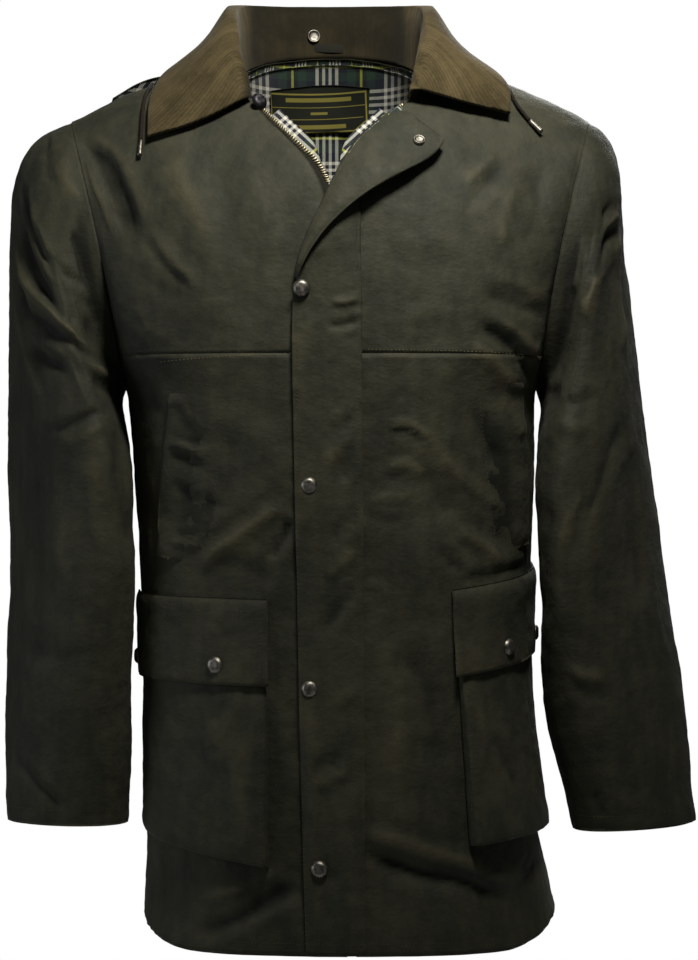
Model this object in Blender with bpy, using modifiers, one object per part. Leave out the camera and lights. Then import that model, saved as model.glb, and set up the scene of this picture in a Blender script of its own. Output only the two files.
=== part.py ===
"""Waxed cotton jacket with a corduroy collar, filled out as worn but empty.

Tables are in millimetres and the scene in metres. +X is the wearer's left, -Y the front and +Z up.
The origin is the middle of the neck hole, where the wearer's neck and shoulders hold the jacket.
Every piece is a cloth wall: a grid mapped by a function of its own sizes, then thickened inwards.
"""

import math
from collections import namedtuple
from functools import partial

import bmesh
import bpy
import numpy as np
from mathutils import Matrix, Vector

MM = 0.001
RIGHT, LEFT = -1, 1

# Cloth and gaps
CLOTH = 2.0
CORDUROY = 2.6
LINING = 1.0
SEAM_GAP = 0.7
SEAM_THIN = 0.25
SHOULDER_GAP = 1.3
REST_GAP = 0.9
RIM_GAP = 1.6

# Levels of the cut, and the side seams' depth
HEM_FRONT = -772.0
HEM_SIDE = {RIGHT: -755.0, LEFT: -748.0}
HEM_BACK = -766.0
YOKE_SEAM = -246.0
ARMPIT = -275.0
SIDE_SEAM_Y = 2.0
OPEN_FROM = -99.0
ZIP_HALF_GAP = 4.0
ROUND_BODY = 2.5
ROUND_SHOULDER = 1.0
ROUND_AXIS = 0.45

# One row for each level: half widths of the wearer's right and left, depths from the side seam, zip line
BodyRow = namedtuple("BodyRow", "z right left front back zip_x")
BODY = (
    BodyRow(-775, 172, 209, 138, 127, 20),
    BodyRow(-740, 171, 205, 137, 124, 20),
    BodyRow(-660, 168, 188, 134, 120, 20),
    BodyRow(-560, 168, 178, 131, 116, 19),
    BodyRow(-460, 173, 182, 130, 114, 17),
    BodyRow(-370, 178, 188, 131, 115, 14),
    BodyRow(-275, 186, 188, 133, 119, 11),
    BodyRow(-200, 186, 188, 129, 120, 9),
    BodyRow(-150, 186, 188, 124, 119, 7),
    BodyRow(-99, 186, 188, 116, 114, 4),
    BodyRow(-50, 186, 188, 106, 105, 2),
    BodyRow(0, 186, 188, 96, 93, 0),
    BodyRow(43, 186, 188, 80, 78, 0),
)

# Neck seam of the wearer's left half, from the middle of the back to the front end
NECK_SEAM = ((0, 78, 43), (45, 66, 38), (76, 30, 24), (84, -8, 8), (70, -52, -14))
NECK_AT_SHOULDER = 0.60
SHOULDER_TIP = (238, 10, -26)
SHOULDER_BOW = 14.0
OPEN_EDGE = ((18, -103, -72), (44, -82, -46), (64, -60, -24))

# Shares of a yoke's front edge where the zip line ends and where the neck seam begins
ZIP_SHARE = 0.4
NECK_SHARE = 0.7

# How fast the folds fade towards a panel's zip, side, shoulder and neck edges
FADE_ZIP = 8
FADE_SIDE = 6
FADE_SHOULDER = 5
FADE_NECK = 3

# Armhole: an oval from the shoulder tip to the armpit
ARMHOLE_FRONT = 78.0
ARMHOLE_BACK = 82.0
ARMHOLE_BOW = 7.0

# Sleeve rings: the outer and inner rails seen from the front, then the depths from the ring's middle
SleeveRow = namedtuple("SleeveRow", "outer_x outer_z inner_x inner_z middle_y front back skew")
SLEEVE_RIGHT = (
    SleeveRow(-264, -37, -190, -281, 6, 82, 86, -6),
    SleeveRow(-284, -57, -191, -289, 5, 86, 88, -14),
    SleeveRow(-295, -90, -188, -300, 4, 88, 88, -26),
    SleeveRow(-299, -135, -182, -318, 3, 89, 87, -40),
    SleeveRow(-302, -192, -178.5, -340, 2, 89, 85, -52),
    SleeveRow(-303, -260, -175.5, -370, 1, 88, 83, -58),
    SleeveRow(-303, -325, -175, -405, 1, 86, 81, -58),
    SleeveRow(-302, -395, -174, -450, 2, 84, 80, -56),
    SleeveRow(-301, -460, -177, -500, 3, 82, 77, -48),
    SleeveRow(-301, -522, -180, -546, 0, 76, 72, -34),
    SleeveRow(-300, -578, -179, -592, -5, 68, 66, -22),
    SleeveRow(-299, -628, -181, -636, -11, 58, 57, -14),
    SleeveRow(-297, -667, -182, -668, -16, 50, 50, -10),
)
SLEEVE_LEFT = (
    SleeveRow(256, -38, 192, -282, 6, 80, 86, -6),
    SleeveRow(268, -62, 193, -291, 5, 83, 88, -14),
    SleeveRow(272, -104, 192, -303, 4, 86, 88, -26),
    SleeveRow(276, -155, 188, -322, 3, 87, 87, -40),
    SleeveRow(284, -210, 186, -350, 2, 87, 85, -52),
    SleeveRow(292, -270, 185.5, -388, 1, 86, 83, -58),
    SleeveRow(300, -335, 186, -430, 1, 84, 81, -58),
    SleeveRow(309, -400, 189, -480, 2, 82, 80, -56),
    SleeveRow(318, -466, 191, -530, 3, 79, 77, -44),
    SleeveRow(325, -528, 196, -576, 0, 74, 72, -30),
    SleeveRow(331, -594, 208, -622, -5, 66, 66, -20),
    SleeveRow(333, -636, 215, -650, -11, 57, 57, -14),
    SleeveRow(337, -668, 220, -674, -16, 50, 50, -10),
)

# Cells of each piece, across and up, and the shares of the back below the armpit and along the neck
FRONT_CELLS = (11, 15)
YOKE_CELLS = (11, 11)
BACK_CELLS = (20, 20)
BACK_BELOW = 0.6
BACK_NECK = 0.4
SLEEVE_CELLS = (22, 22)
COLLAR_CELLS = (24, 10)
FLAP_CELLS = (8, 28)
POCKET_CELLS = (12, 10)
POCKET_FLAP_CELLS = (10, 7)
WELT_CELLS = (5, 12)
HOOD_CELLS = (22, 12)
TAPE_CELLS = (2, 30)
FACING_CELLS = (3, 8)
LABEL_CELLS = (6, 4)

# Samples of the cloth that other pieces lie on, and the steps over which its slope is taken
ACROSS_FRONT = 66
UP_FRONT = 120
UP_YOKE = 88
ROUND_BACK = 40
BACK_REACH = 0.6
RUN = 6.0
SLOPE_STEP = 9.0
SHARE_STEP = 0.012
FLAP_STEP = 0.02

# Large soft folds: troughs (depth below zero) and ridges along a line seen from the front or the back
Fold = namedtuple("Fold", "x0 z0 x1 z1 width depth")
FRONT_FOLDS = (
    Fold(-232, -58, -186, -140, 17, -7),
    Fold(-178, -120, -120, -205, 26, -3),
    Fold(-60, -110, -110, -190, 30, 3),
    Fold(-150, -385, -70, -470, 22, -4),
    Fold(-150, -420, -40, -350, 24, 3),
    Fold(70, -360, 150, -420, 20, -4),
    Fold(60, -400, 150, -450, 18, 4),
    Fold(-165, -735, 20, -690, 22, -5),
    Fold(60, -700, 170, -740, 22, -5),
    Fold(190, -80, 196, -190, 18, -4),
)
BACK_FOLDS = (
    Fold(-150, -120, -60, -330, 30, -4),
    Fold(150, -120, 70, -330, 30, -4),
    Fold(-100, -420, 110, -470, 30, -4),
    Fold(-20, -520, -60, -740, 32, 4),
    Fold(90, -540, 130, -740, 32, -4),
)
SLEEVE_FOLDS_RIGHT = (
    Fold(-279, -80, -222, -172, 10, -5),
    Fold(-289, -122, -208, -236, 14, -8),
    Fold(-272, -150, -200, -262, 10, 4),
    Fold(-271, -243, -190, -280, 13, -6),
    Fold(-254, -77, -214, -128, 15, -8),
    Fold(-292, -330, -200, -390, 22, -4),
    Fold(-240, -420, -200, -620, 20, 3),
)
SLEEVE_FOLDS_LEFT = (
    Fold(256, -115, 206, -190, 12, -6),
    Fold(262, -170, 208, -262, 14, -5),
    Fold(250, -200, 240, -420, 18, 4),
    Fold(225, -250, 215, -430, 16, -5),
    Fold(292, -420, 215, -500, 22, -4),
    Fold(265, -470, 290, -640, 16, -4),
)

# Depth of a sleeve's middle at the armhole, and how far up its folds lie on its back
SLEEVE_MIDDLE = 6
SLEEVE_BACK_SHIFT = 26

# Collar stations of the left half: neck seam, inner roll, top, outer roll, mid fall and leaf edge
CollarRow = namedtuple("CollarRow", "seam roll top outer mid edge")
COLLAR_BACK = (
    CollarRow((0, 77, 43.9), (0, 80, 86), (0, 88, 96), (0, 97, 87), (0, 104, 62), (0, 112, 33)),
    CollarRow((45, 65, 38.9), (50, 68, 84), (56, 74, 94), (63, 81, 86), (72, 92, 60), (82, 103, 31)),
    CollarRow((75, 30, 24.9), (80, 32, 80), (88, 36, 90), (97, 39, 83), (112, 45, 54), (138, 54, 28)),
    CollarRow((83, -8, 8.9), (83, -8, 62), (90, -8, 73), (98, -8, 68), (118, -5, 44), (152, 0, 20)),
)
COLLAR_RIGHT = (
    CollarRow((77, -34, -2.6), (77, -38, 28), (83, -42, 36), (94, -44, 33), (128, -43, 12), (164, -40, -12)),
    CollarRow(
        (70, -53, -12.6), (70, -57, -11), (77, -61, -14), (90, -64, -22), (124, -70, -38), (163, -69, -49)
    ),
)
COLLAR_LEFT = (
    CollarRow((77, -34, -2.6), (77, -38, 28), (83, -42, 37), (94, -44, 35), (128, -42, 18), (164, -34, 0)),
    CollarRow(
        (70, -53, -12.6), (70, -57, -7), (77, -61, -4), (90, -60, -8), (124, -57, -17), (163, -52, -26)
    ),
)

# Storm flap: its sewn edge, turning line and free edge from hem to top, seen from the front
FlapRow = namedtuple("FlapRow", "z sewn_x turn_x free_x free_z lift")
STORM_FLAP = (
    FlapRow(-771, 32, 4, -20, -771, 1),
    FlapRow(-700, 32, 3, -22, -700, 1),
    FlapRow(-600, 31, 2, -25, -600, 1),
    FlapRow(-500, 31, 0, -27, -500, 1),
    FlapRow(-400, 30, -2, -29, -400, 1),
    FlapRow(-300, 30, -2, -31, -300, 1),
    FlapRow(-240, 29, -3, -32, -240, 2),
    FlapRow(-205, 29, -12, -32, -204, 3),
    FlapRow(-186, 29, -27, -29, -184, 5),
    FlapRow(-172, 28, -28, -22, -167, 7),
    FlapRow(-155, 28, -23, -11, -149, 9),
    FlapRow(-137, 28, -16, 5, -130, 10),
    FlapRow(-119, 28, -7, 25, -112, 10),
    FlapRow(-101, 29, 1, 46, -98, 9),
    FlapRow(-80, 34, 11, 67, -86, 7),
    FlapRow(-58, 43, 24, 86, -75, 6),
    FlapRow(-38, 55, 43, 97, -65, 5),
    FlapRow(-21, 66, 62, 102, -56, 5),
)

FOLD_FULL = 16.0
FOLD_ROUND = 4.5

# Bellows pockets: ends along the cloth from the zip, levels at both ends, depths of the bellows
Pocket = namedtuple(
    "Pocket",
    "name side inner_top inner_low outer top_in top_out low_in low_out deep_in deep_out mouth snap side_snap",
)
POCKETS = (
    Pocket("right", RIGHT, 70, 70, 252, -470, -466, -694, -666, 13, 4, 2.6, 0.24, 0.88),
    Pocket("left", LEFT, 90, 102, 272, -462, -438, -676, -662, 17, 12, 3.4, 0.29, 0.68),
)
POCKET_FLANGE = 1.5
FLAP_HEIGHT = 76.0
FLAP_OVER = 9.0
FLAP_WIDER = 3.0
POCKET_CLOTH = 1.6

# Hand-warmer welts: corners seen from the front, at the stitched inner side and at the mouth
Welt = namedtuple("Welt", "name side top_in top_mouth low_in low_mouth")
WELTS = (
    Welt("right", RIGHT, (-92, -275), (-141, -277), (-105, -440), (-151, -424)),
    Welt("left", LEFT, (128, -262), (171, -268), (146, -428), (177, -414)),
)
WELT_CLOTH = 1.4
MOUTH_STAND_OFF = 1.6

# Snaps
SNAP_RADIUS = 7.8
SNAP_HEIGHT = 2.6
SNAP_SIDES = 14
SNAP_GAP = 0.7
SNAP_TOP = 0.8
SNAP_CROWN = 0.3
RING_TOP = 0.9
RING_WALL = 0.35
RING_DISH = 0.5
SNAP_ABOVE_EDGE = 17.0
STORM_SNAPS = ((-24, -190), (-17, -364), (-17, -538), (-8, -697))
SOCKET_RADIUS = 5.5
RING_RADIUS = 6.5
FLAP_SOCKET = (78, -58)
COLLAR_RING = (0.467, 0.163)
THROAT_CAP = (-63.0, -57.1, -16.1)
THROAT_FACES = (0.5, -0.8, 0.35)

# Zip
TAPE_WIDTH = 13.0
TAPE = 1.0
ZIP_OPEN_SHARE = 0.78
ZIP_ABOVE_HEM = 6.0
ZIP_BELOW_NECK = 6.0
TAPE_BEHIND = 1.3
TAPE_BEHIND_OPEN = 2.4
TAPE_STEP = (0.74, 0.06)
SLIDER_AT = (4.7, -112.0)
SLIDER_HEIGHT = 13.0
SLIDER_STAND_OUT = 1.1
SLIDER_PROFILE = (
    (-3.2, -3.4),
    (3.2, -3.4),
    (3.2, 2.0),
    (2.6, 2.0),
    (2.6, 0.0),
    (-2.6, 0.0),
    (-2.6, 2.0),
    (-3.2, 2.0),
)
PULL_WIDTH = 4.4
PULL_THICK = 1.2
PULL_LENGTH = 22.0
PULL_BELOW_TOP = 3.0
PIN_RADIUS = 0.9
PIN_SIDES = 10

# Back neck lining, in columns and rows of the back's cells, and the label in shares of the back
LINING_COLUMNS = (4, 16)
LINING_ROWS = (15, 20)
LINING_SHY = 0.12
LABEL_ACROSS = (0.375, 0.578)
LABEL_UP = (0.916, 0.972)
LABEL_CLOTH = 0.8
LABEL_OFF = 1.4
LABEL_CORNERS = 0.3

# Facings: their shares of the zip path, their outer edge, and their inner edge at both ends
FACING_SHARES = (0.80, 0.955)
FACING_OUTER = -6.0
FACING_INNER = (3.0, 15.0)
FACING_WIDENS = 2.2
FACING_BEHIND = 1.7
FACING_SLOPE = 0.35

# Hood, laid back: how far down the back it reaches and how far its outer side stands off
HOOD_SPAN_RIGHT = 0.87
HOOD_SPAN_LEFT = 0.60
HOOD_DROP = 0.22
HOOD_DROP_ENDS = 0.80
HOOD_DROP_CURVE = 1.2
HOOD_TOP = 0.94
HOOD_NARROWS = 0.92
HOOD_STAND_OFF = 46.0
HOOD_STAND_OFF_ENDS = 10.0
HOOD_LIFT = 1.7
HOOD_RIM = 0.72
HOOD_RIM_RISE = 4.0
HOOD_RIM_RISE_ENDS = {RIGHT: 25.0, LEFT: 2.0}
HOOD_RIM_REACH = 1.25
HOOD_CORNER = 0.35
HOOD_PEAK = {RIGHT: 12.0, LEFT: 0.0}
HOOD_PEAK_AT = 0.72
HOOD_PEAK_WIDTH = 0.12
HOOD_BULGE = (24.0, 5.0)
HOOD_BULGE_WAY = (2.0, 1.0, -0.15)
HOOD_BULGE_SPAN = (0.03, 0.97)

# Drawcords: points of each free end from under the collar down to its tip
CORD_RIGHT = (
    (-163, -1, 7),
    (-167.5, -19.5, -4),
    (-169, -38.5, -20.5),
    (-169, -53.5, -37.5),
    (-169, -63.5, -51.5),
)
CORD_LEFT = (
    (150, 3.2, 11.8),
    (157.4, 0.9, 9.1),
    (163.3, -12.1, 1.2),
    (170.9, -32.5, -17.1),
    (180.4, -43.4, -31.4),
)
TIP_RIGHT = (-169.5, -72.5, -67)
TIP_LEFT = (191, -50, -43)
CORD_DIAMETER = 3.2
TIP_DIAMETER = 4.6
CORD_POINTS = 11
TIP_GAP = 0.8
TIP_NECK = 0.8
TIP_SIDES = 10

collection = bpy.data.collections.new("waxed_cotton_jacket")


def clear_scene():
    for old in list(bpy.data.objects):
        bpy.data.objects.remove(old, do_unlink=True)
    bpy.context.scene.collection.children.link(collection)


def material(name, colour, roughness, metallic=0.0):
    made = bpy.data.materials.new(name)
    made.use_nodes = True
    shader = made.node_tree.nodes["Principled BSDF"]
    shader.inputs["Base Color"].default_value = (*colour, 1)
    shader.inputs["Roughness"].default_value = roughness
    shader.inputs["Metallic"].default_value = metallic
    return made


# ---------------------------------------------------------------- curves and tables


def smooth(value):
    value = min(max(value, 0.0), 1.0)
    return value * value * (3 - 2 * value)


def mix(start, end, share):
    return start + (end - start) * share


def column(rows, field, at, key="z"):
    """One column of a table at a level, on a smooth curve through its rows."""
    keys = [getattr(row, key) for row in rows]
    values = [getattr(row, field) for row in rows]
    if keys[0] > keys[-1]:
        keys, values = keys[::-1], values[::-1]
    return float(hermite(keys, np.array(values, float), at))


def hermite(keys, values, at):
    """Cubic curve through values at keys, with slopes from the neighbours."""
    at = min(max(at, keys[0]), keys[-1])
    i = min(int(np.searchsorted(keys, at, side="right")) - 1, len(keys) - 2)
    i = max(i, 0)
    span = keys[i + 1] - keys[i]
    share = (at - keys[i]) / span
    slopes = []
    for k in (i, i + 1):
        before, after = max(k - 1, 0), min(k + 1, len(keys) - 1)
        slopes.append((values[after] - values[before]) / (keys[after] - keys[before]) * span)
    two, three = share * share, share**3
    return (
        (2 * three - 3 * two + 1) * values[i]
        + (three - 2 * two + share) * slopes[0]
        + (3 * two - 2 * three) * values[i + 1]
        + (three - two) * slopes[1]
    )


def through(points, share):
    """Point at a share of the way along a smooth curve through the points."""
    points = np.array(points, float)
    steps = np.linalg.norm(np.diff(points, axis=0), axis=1)
    keys = list(np.concatenate([[0], np.cumsum(steps)]))
    return hermite(keys, points, share * keys[-1])


def fold_depth(folds, x, z):
    """Sum of the folds at a place, each fading over its width and at its ends."""
    total = 0.0
    for fold in folds:
        along = np.array((fold.x1 - fold.x0, fold.z1 - fold.z0), float)
        length = np.linalg.norm(along)
        along /= length
        offset = np.array((x - fold.x0, z - fold.z0))
        t = float(offset @ along)
        across = float(offset @ np.array((-along[1], along[0])))
        beyond = max(-t, t - length, 0.0)
        total += fold.depth * math.exp(-((across / fold.width) ** 2) - (beyond / fold.width) ** 2)
    return total


# ---------------------------------------------------------------- the body's surface


def arc(start, end, share, fullness):
    """Quarter of a rounded section from the middle of a panel to its side."""
    angle = share * math.pi / 2
    across = math.sin(angle) ** (2 / fullness)
    inward = 1 - max(math.cos(angle), 0.0) ** (2 / fullness)
    return np.array(
        (
            mix(start[0], end[0], across),
            mix(start[1], end[1], inward),
            mix(start[2], end[2], across),
        )
    )


def armhole(side, angle):
    """Point of the armhole oval: 0 at the shoulder tip, positive over the front, pi at the armpit."""
    tip = np.array(SHOULDER_TIP, float)
    half = column(BODY, "right" if side == RIGHT else "left", ARMPIT)
    pit = np.array((half, SIDE_SEAM_Y, ARMPIT))
    centre, reach = (tip + pit) / 2, (tip - pit) / 2
    turn = math.sin(angle)
    x = centre[0] + reach[0] * math.cos(angle) - ARMHOLE_BOW * turn * turn
    depth = ARMHOLE_FRONT if turn > 0 else ARMHOLE_BACK
    y = centre[1] + reach[1] * math.cos(angle) - depth * turn
    return np.array((side * x, y, centre[2] + reach[2] * math.cos(angle)))


def armhole_angle(level):
    tip, pit = SHOULDER_TIP[2], ARMPIT
    return math.acos(min(max((level - (tip + pit) / 2) / ((tip - pit) / 2), -1), 1))


def side_seam(side, level):
    half = column(BODY, "right" if side == RIGHT else "left", level)
    return np.array((side * half, SIDE_SEAM_Y, level))


def outer_edge(side, level, face):
    """Side seam up to the armpit, then the armhole's front (face -1) or back (face 1) half."""
    if level <= ARMPIT:
        return side_seam(side, level)
    return armhole(side, -face * armhole_angle(level))


def neck_seam(share):
    """Neck seam from the wearer's right front end (-1) round the back (0) to the left front end (1)."""
    point = through(NECK_SEAM, abs(share))
    return np.array((point[0] * (1 if share >= 0 else -1), point[1], point[2]))


def shoulder_seam(side, share):
    """From the neck (0) to the shoulder tip (1), slightly bowed up."""
    start = neck_seam(side * NECK_AT_SHOULDER)
    tip = np.array((side * SHOULDER_TIP[0], SHOULDER_TIP[1], SHOULDER_TIP[2]), float)
    point = mix(start, tip, share)
    point[2] += SHOULDER_BOW * math.sin(math.pi * share)
    return point


def front_edge(side, level):
    zip_x = column(BODY, "zip_x", level)
    return np.array((zip_x + side * ZIP_HALF_GAP, -column(BODY, "front", level), level))


def open_edge(side, share):
    """Front edge of the yoke: up the zip line, out along the open edge, then along the neck seam."""
    if share < ZIP_SHARE:
        return front_edge(side, mix(YOKE_SEAM, OPEN_FROM, share / ZIP_SHARE))
    if share < NECK_SHARE:
        end = neck_seam(side)
        points = [front_edge(side, OPEN_FROM)]
        points += [np.array((side * x, y, z), float) for x, y, z in OPEN_EDGE]
        return through(points + [end], (share - ZIP_SHARE) / (NECK_SHARE - ZIP_SHARE))
    return neck_seam(side * mix(1.0, NECK_AT_SHOULDER, (share - NECK_SHARE) / (1 - NECK_SHARE)))


def front_at(side, share, level):
    """Front below the yoke seam: share 0 at the zip, 1 at the side seam."""
    point = arc(front_edge(side, level), outer_edge(side, level, -1), share, ROUND_BODY)
    out = outward_of(point)
    fade = smooth(share * FADE_ZIP) * smooth((1 - share) * FADE_SIDE)
    return point + out * fold_depth(FRONT_FOLDS, point[0], point[2]) * fade


def outward_of(point):
    """Unit direction away from the body's upright axis, flat."""
    flat = np.array((point[0] * ROUND_AXIS, point[1], 0.0))
    return flat / max(np.linalg.norm(flat), 1e-6)


def yoke_at(side, share, height):
    """Front yoke: height 0 at the yoke seam, 1 at the shoulder seam."""
    start = open_edge(side, height)
    top_angle = armhole_angle(YOKE_SEAM)
    end = armhole(side, top_angle * (1 - height))
    fullness = mix(ROUND_BODY, ROUND_SHOULDER, smooth(height))
    point = arc(start, end, share, fullness)
    across = math.sin(share * math.pi / 2) ** (2 / fullness)
    point[2] += SHOULDER_BOW * math.sin(math.pi * across) * smooth((height - 0.5) / 0.5)
    out = outward_of(point)
    fade = smooth(share * FADE_ZIP) * smooth((1 - share) * FADE_SIDE) * smooth((1 - height) * FADE_SHOULDER)
    return point + out * fold_depth(FRONT_FOLDS, point[0], point[2]) * fade


def back_half(share, height):
    """Upper back without its folds: share -1 to 1 across, height 0 at the armpit and 1 at the top."""
    side = RIGHT if share < 0 else LEFT
    share = abs(share)
    level = mix(ARMPIT, NECK_SEAM[0][2], height)
    start = np.array((0.0, column(BODY, "back", level), level))
    end = armhole(side, -math.pi * (1 - height))
    fullness = mix(ROUND_BODY, ROUND_SHOULDER, smooth(height))
    plain = arc(start, end, share, fullness)
    if share < BACK_NECK:
        top = neck_seam(side * NECK_AT_SHOULDER * share / BACK_NECK)
    else:
        top = shoulder_seam(side, (share - BACK_NECK) / (1 - BACK_NECK))
    neck = np.array((0.0, column(BODY, "back", NECK_SEAM[0][2]), NECK_SEAM[0][2]))
    plain_top = arc(neck, armhole(side, 0.0), share, ROUND_SHOULDER)
    return plain + (top - plain_top) * height**2


def back_at(share, height):
    """Back: height below 0 counts down to the hem at -1, above 0 up to the neck at 1."""
    if height >= 0:
        point = back_half(share, height)
    else:
        side = RIGHT if share < 0 else LEFT
        hem = mix(HEM_BACK, HEM_SIDE[side], smooth(abs(share)))
        level = mix(ARMPIT, hem, -height)
        start = np.array((0.0, column(BODY, "back", level), level))
        point = arc(start, side_seam(side, level), abs(share), ROUND_BODY)
    out = outward_of(point)
    fade = smooth((1 - abs(share)) * FADE_SIDE) * smooth((1 - height) * FADE_NECK)
    return point + out * fold_depth(BACK_FOLDS, point[0], point[2]) * fade


def lower_panel(side, u, v):
    """Front below the yoke seam: u from the zip to the side seam, v from the hem up."""
    point = front_at(side, u, mix(hem_at(side, u), YOKE_SEAM - SEAM_GAP, v))
    return point - np.array((0, SEAM_GAP / 2 if u == 1 else 0, 0))


def upper_panel(side, u, v):
    """Front yoke: u from its front edge to the armhole, v from the yoke seam to the shoulder seam."""
    return yoke_at(side, u, v) - np.array((0, SHOULDER_GAP / 2 if v == 1 else 0, 0))


def hem_at(side, u):
    return mix(HEM_FRONT, HEM_SIDE[side], smooth((u - 0.45) / 0.55))


def grid_of(point, columns, rows):
    """Corner points of a piece's cells, as its wall has them."""
    return np.array([[point(i / columns, j / rows) for j in range(rows + 1)] for i in range(columns + 1)])


def on_grid(grid, u, v):
    """Point of a piece between the corners of one of its cells."""
    columns, rows = grid.shape[0] - 1, grid.shape[1] - 1
    i = min(max(int(u * columns), 0), columns - 1)
    j = min(max(int(v * rows), 0), rows - 1)
    s, t = u * columns - i, v * rows - j
    return mix(mix(grid[i, j], grid[i + 1, j], s), mix(grid[i, j + 1], grid[i + 1, j + 1], s), t)


def back_panel(u, v):
    """Back: u from the wearer's right to left, v from the hem up."""
    share = 2 * u - 1
    height = v / BACK_BELOW - 1 if v < BACK_BELOW else (v - BACK_BELOW) / (1 - BACK_BELOW)
    gap = 0.0
    if abs(share) > 0.9999 and height <= 0:
        gap = SEAM_GAP
    elif height > 0.9999 and abs(share) > BACK_NECK:
        gap = SHOULDER_GAP
    return back_at(share, height) + np.array((0, gap / 2, 0))


def section(side, level):
    """Points of the cloth at a level, from the zip round onto the back, and their distances."""
    points = []
    for i in range(ACROSS_FRONT + 1):
        u = i / ACROSS_FRONT
        hem = hem_at(side, u)
        points.append(on_grid(LOWER[side], u, (level - hem) / (YOKE_SEAM - SEAM_GAP - hem)))
    for i in range(ROUND_BACK + 1):
        share = 1 - BACK_REACH * i / ROUND_BACK
        hem = mix(HEM_BACK, HEM_SIDE[side], smooth(share))
        points.append(on_grid(BACK, (side * share + 1) / 2, BACK_BELOW * (level - hem) / (ARMPIT - hem)))
    steps = np.linalg.norm(np.diff(points, axis=0), axis=1)
    return np.array(points), np.concatenate([[0], np.cumsum(steps)])


def on_front(side, distance, level, lift):
    """Point at a distance from the zip along the cloth, moved out of the front by lift."""
    points, lengths = section(side, level)
    distance = min(max(distance, 0.0), lengths[-1])
    here = np.array([np.interp(distance, lengths, points[:, i]) for i in range(3)])
    ahead = np.array([np.interp(min(distance + RUN, lengths[-1]), lengths, points[:, i]) for i in range(3)])
    behind = np.array([np.interp(max(distance - RUN, 0), lengths, points[:, i]) for i in range(3)])
    run = (ahead - behind) / np.linalg.norm(ahead - behind)
    return here + lift * np.array((side * run[1], -side * run[0], 0.0))


def samples_of(grid, across, up):
    return np.array([on_grid(grid, i / across, j / up) for i in range(across + 1) for j in range(up + 1)])


def front_samples(side):
    """Dense points of one front's cloth, to find it at a place seen from the front."""
    lower = samples_of(LOWER[side], ACROSS_FRONT, UP_FRONT)
    upper = samples_of(UPPER[side], ACROSS_FRONT, UP_YOKE)
    return np.concatenate([lower, upper])


def front_y(x, z):
    """Depth of the front at a place seen from the front, from the nearest four points of the cloth."""
    side = LEFT if x > column(BODY, "zip_x", z) else RIGHT
    places = SAMPLES[side]
    away = (places[:, 0] - x) ** 2 + (places[:, 2] - z) ** 2
    near = np.argsort(away)[:4]
    weights = 1 / (away[near] + 0.3)
    return float((places[near, 1] * weights).sum() / weights.sum())


def front_normal(x, z):
    slope_x = (front_y(x + SLOPE_STEP, z) - front_y(x - SLOPE_STEP, z)) / (2 * SLOPE_STEP)
    slope_z = (front_y(x, z + SLOPE_STEP) - front_y(x, z - SLOPE_STEP)) / (2 * SLOPE_STEP)
    normal = np.array((slope_x, -1.0, slope_z))
    return normal / np.linalg.norm(normal)


# ---------------------------------------------------------------- making pieces


def link(obj, finish):
    collection.objects.link(obj)
    obj.data.materials.append(finish)
    return obj


def wall(name, columns, rows, point, finish, thickness=CLOTH, turn=False, ring=False, thin=None):
    """Cloth piece: a grid mapped by point(u, v), thickened away from its outer side."""
    grid = bmesh.new()
    bmesh.ops.create_grid(grid, x_segments=columns, y_segments=rows, size=0.5)
    weights = grid.verts.layers.deform.verify()
    for vert in grid.verts:
        u, v = vert.co.x + 0.5, vert.co.y + 0.5
        vert[weights][0] = SEAM_THIN if thin and thin(u, v) else 1.0
        vert.co = Vector(point(u, v)) * MM
    if ring:
        bmesh.ops.remove_doubles(grid, verts=grid.verts, dist=0.00001)
    if turn:
        bmesh.ops.reverse_faces(grid, faces=grid.faces)
    mesh = bpy.data.meshes.new(name)
    grid.to_mesh(mesh)
    grid.free()
    mesh.shade_smooth()
    obj = link(bpy.data.objects.new(name, mesh), finish)
    solidify = obj.modifiers.new("thickness", "SOLIDIFY")
    solidify.thickness = thickness * MM
    solidify.offset = -1.0
    obj.vertex_groups.new(name="full_thickness")
    solidify.vertex_group = "full_thickness"
    return obj


def placed(name, shape, place, normal, finish):
    """Small hard piece built along +Z, turned to a normal and set at a place."""
    mesh = bpy.data.meshes.new(name)
    shape.to_mesh(mesh)
    shape.free()
    obj = link(bpy.data.objects.new(name, mesh), finish)
    turn = Vector((0, 0, 1)).rotation_difference(Vector(normal))
    obj.location = Vector(place) * MM
    obj.rotation_mode = "QUATERNION"
    obj.rotation_quaternion = turn
    return obj


def dome(radius, height):
    """Snap cap: a low turned cap, its rim down at z=0."""
    shape = bmesh.new()
    bmesh.ops.create_cone(
        shape,
        cap_ends=True,
        segments=SNAP_SIDES,
        radius1=radius * MM,
        radius2=radius * SNAP_TOP * MM,
        depth=height * MM,
    )
    bmesh.ops.translate(shape, verts=shape.verts, vec=(0, 0, height / 2 * MM))
    top = max(shape.faces, key=lambda face: face.calc_center_median().z)
    bmesh.ops.inset_region(shape, faces=[top], thickness=radius * SNAP_CROWN * MM)
    bmesh.ops.translate(shape, verts=top.verts, vec=(0, 0, height * SNAP_CROWN * MM))
    return shape


def ring_snap(radius, height):
    """Ring-shaped socket: a disc with a raised rim and a dished middle."""
    shape = bmesh.new()
    bmesh.ops.create_cone(
        shape,
        cap_ends=True,
        segments=SNAP_SIDES,
        radius1=radius * MM,
        radius2=radius * RING_TOP * MM,
        depth=height * MM,
    )
    bmesh.ops.translate(shape, verts=shape.verts, vec=(0, 0, height / 2 * MM))
    top = max(shape.faces, key=lambda face: face.calc_center_median().z)
    bmesh.ops.inset_region(shape, faces=[top], thickness=radius * RING_WALL * MM)
    bmesh.ops.translate(shape, verts=top.verts, vec=(0, 0, -height * RING_DISH * MM))
    return shape


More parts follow.
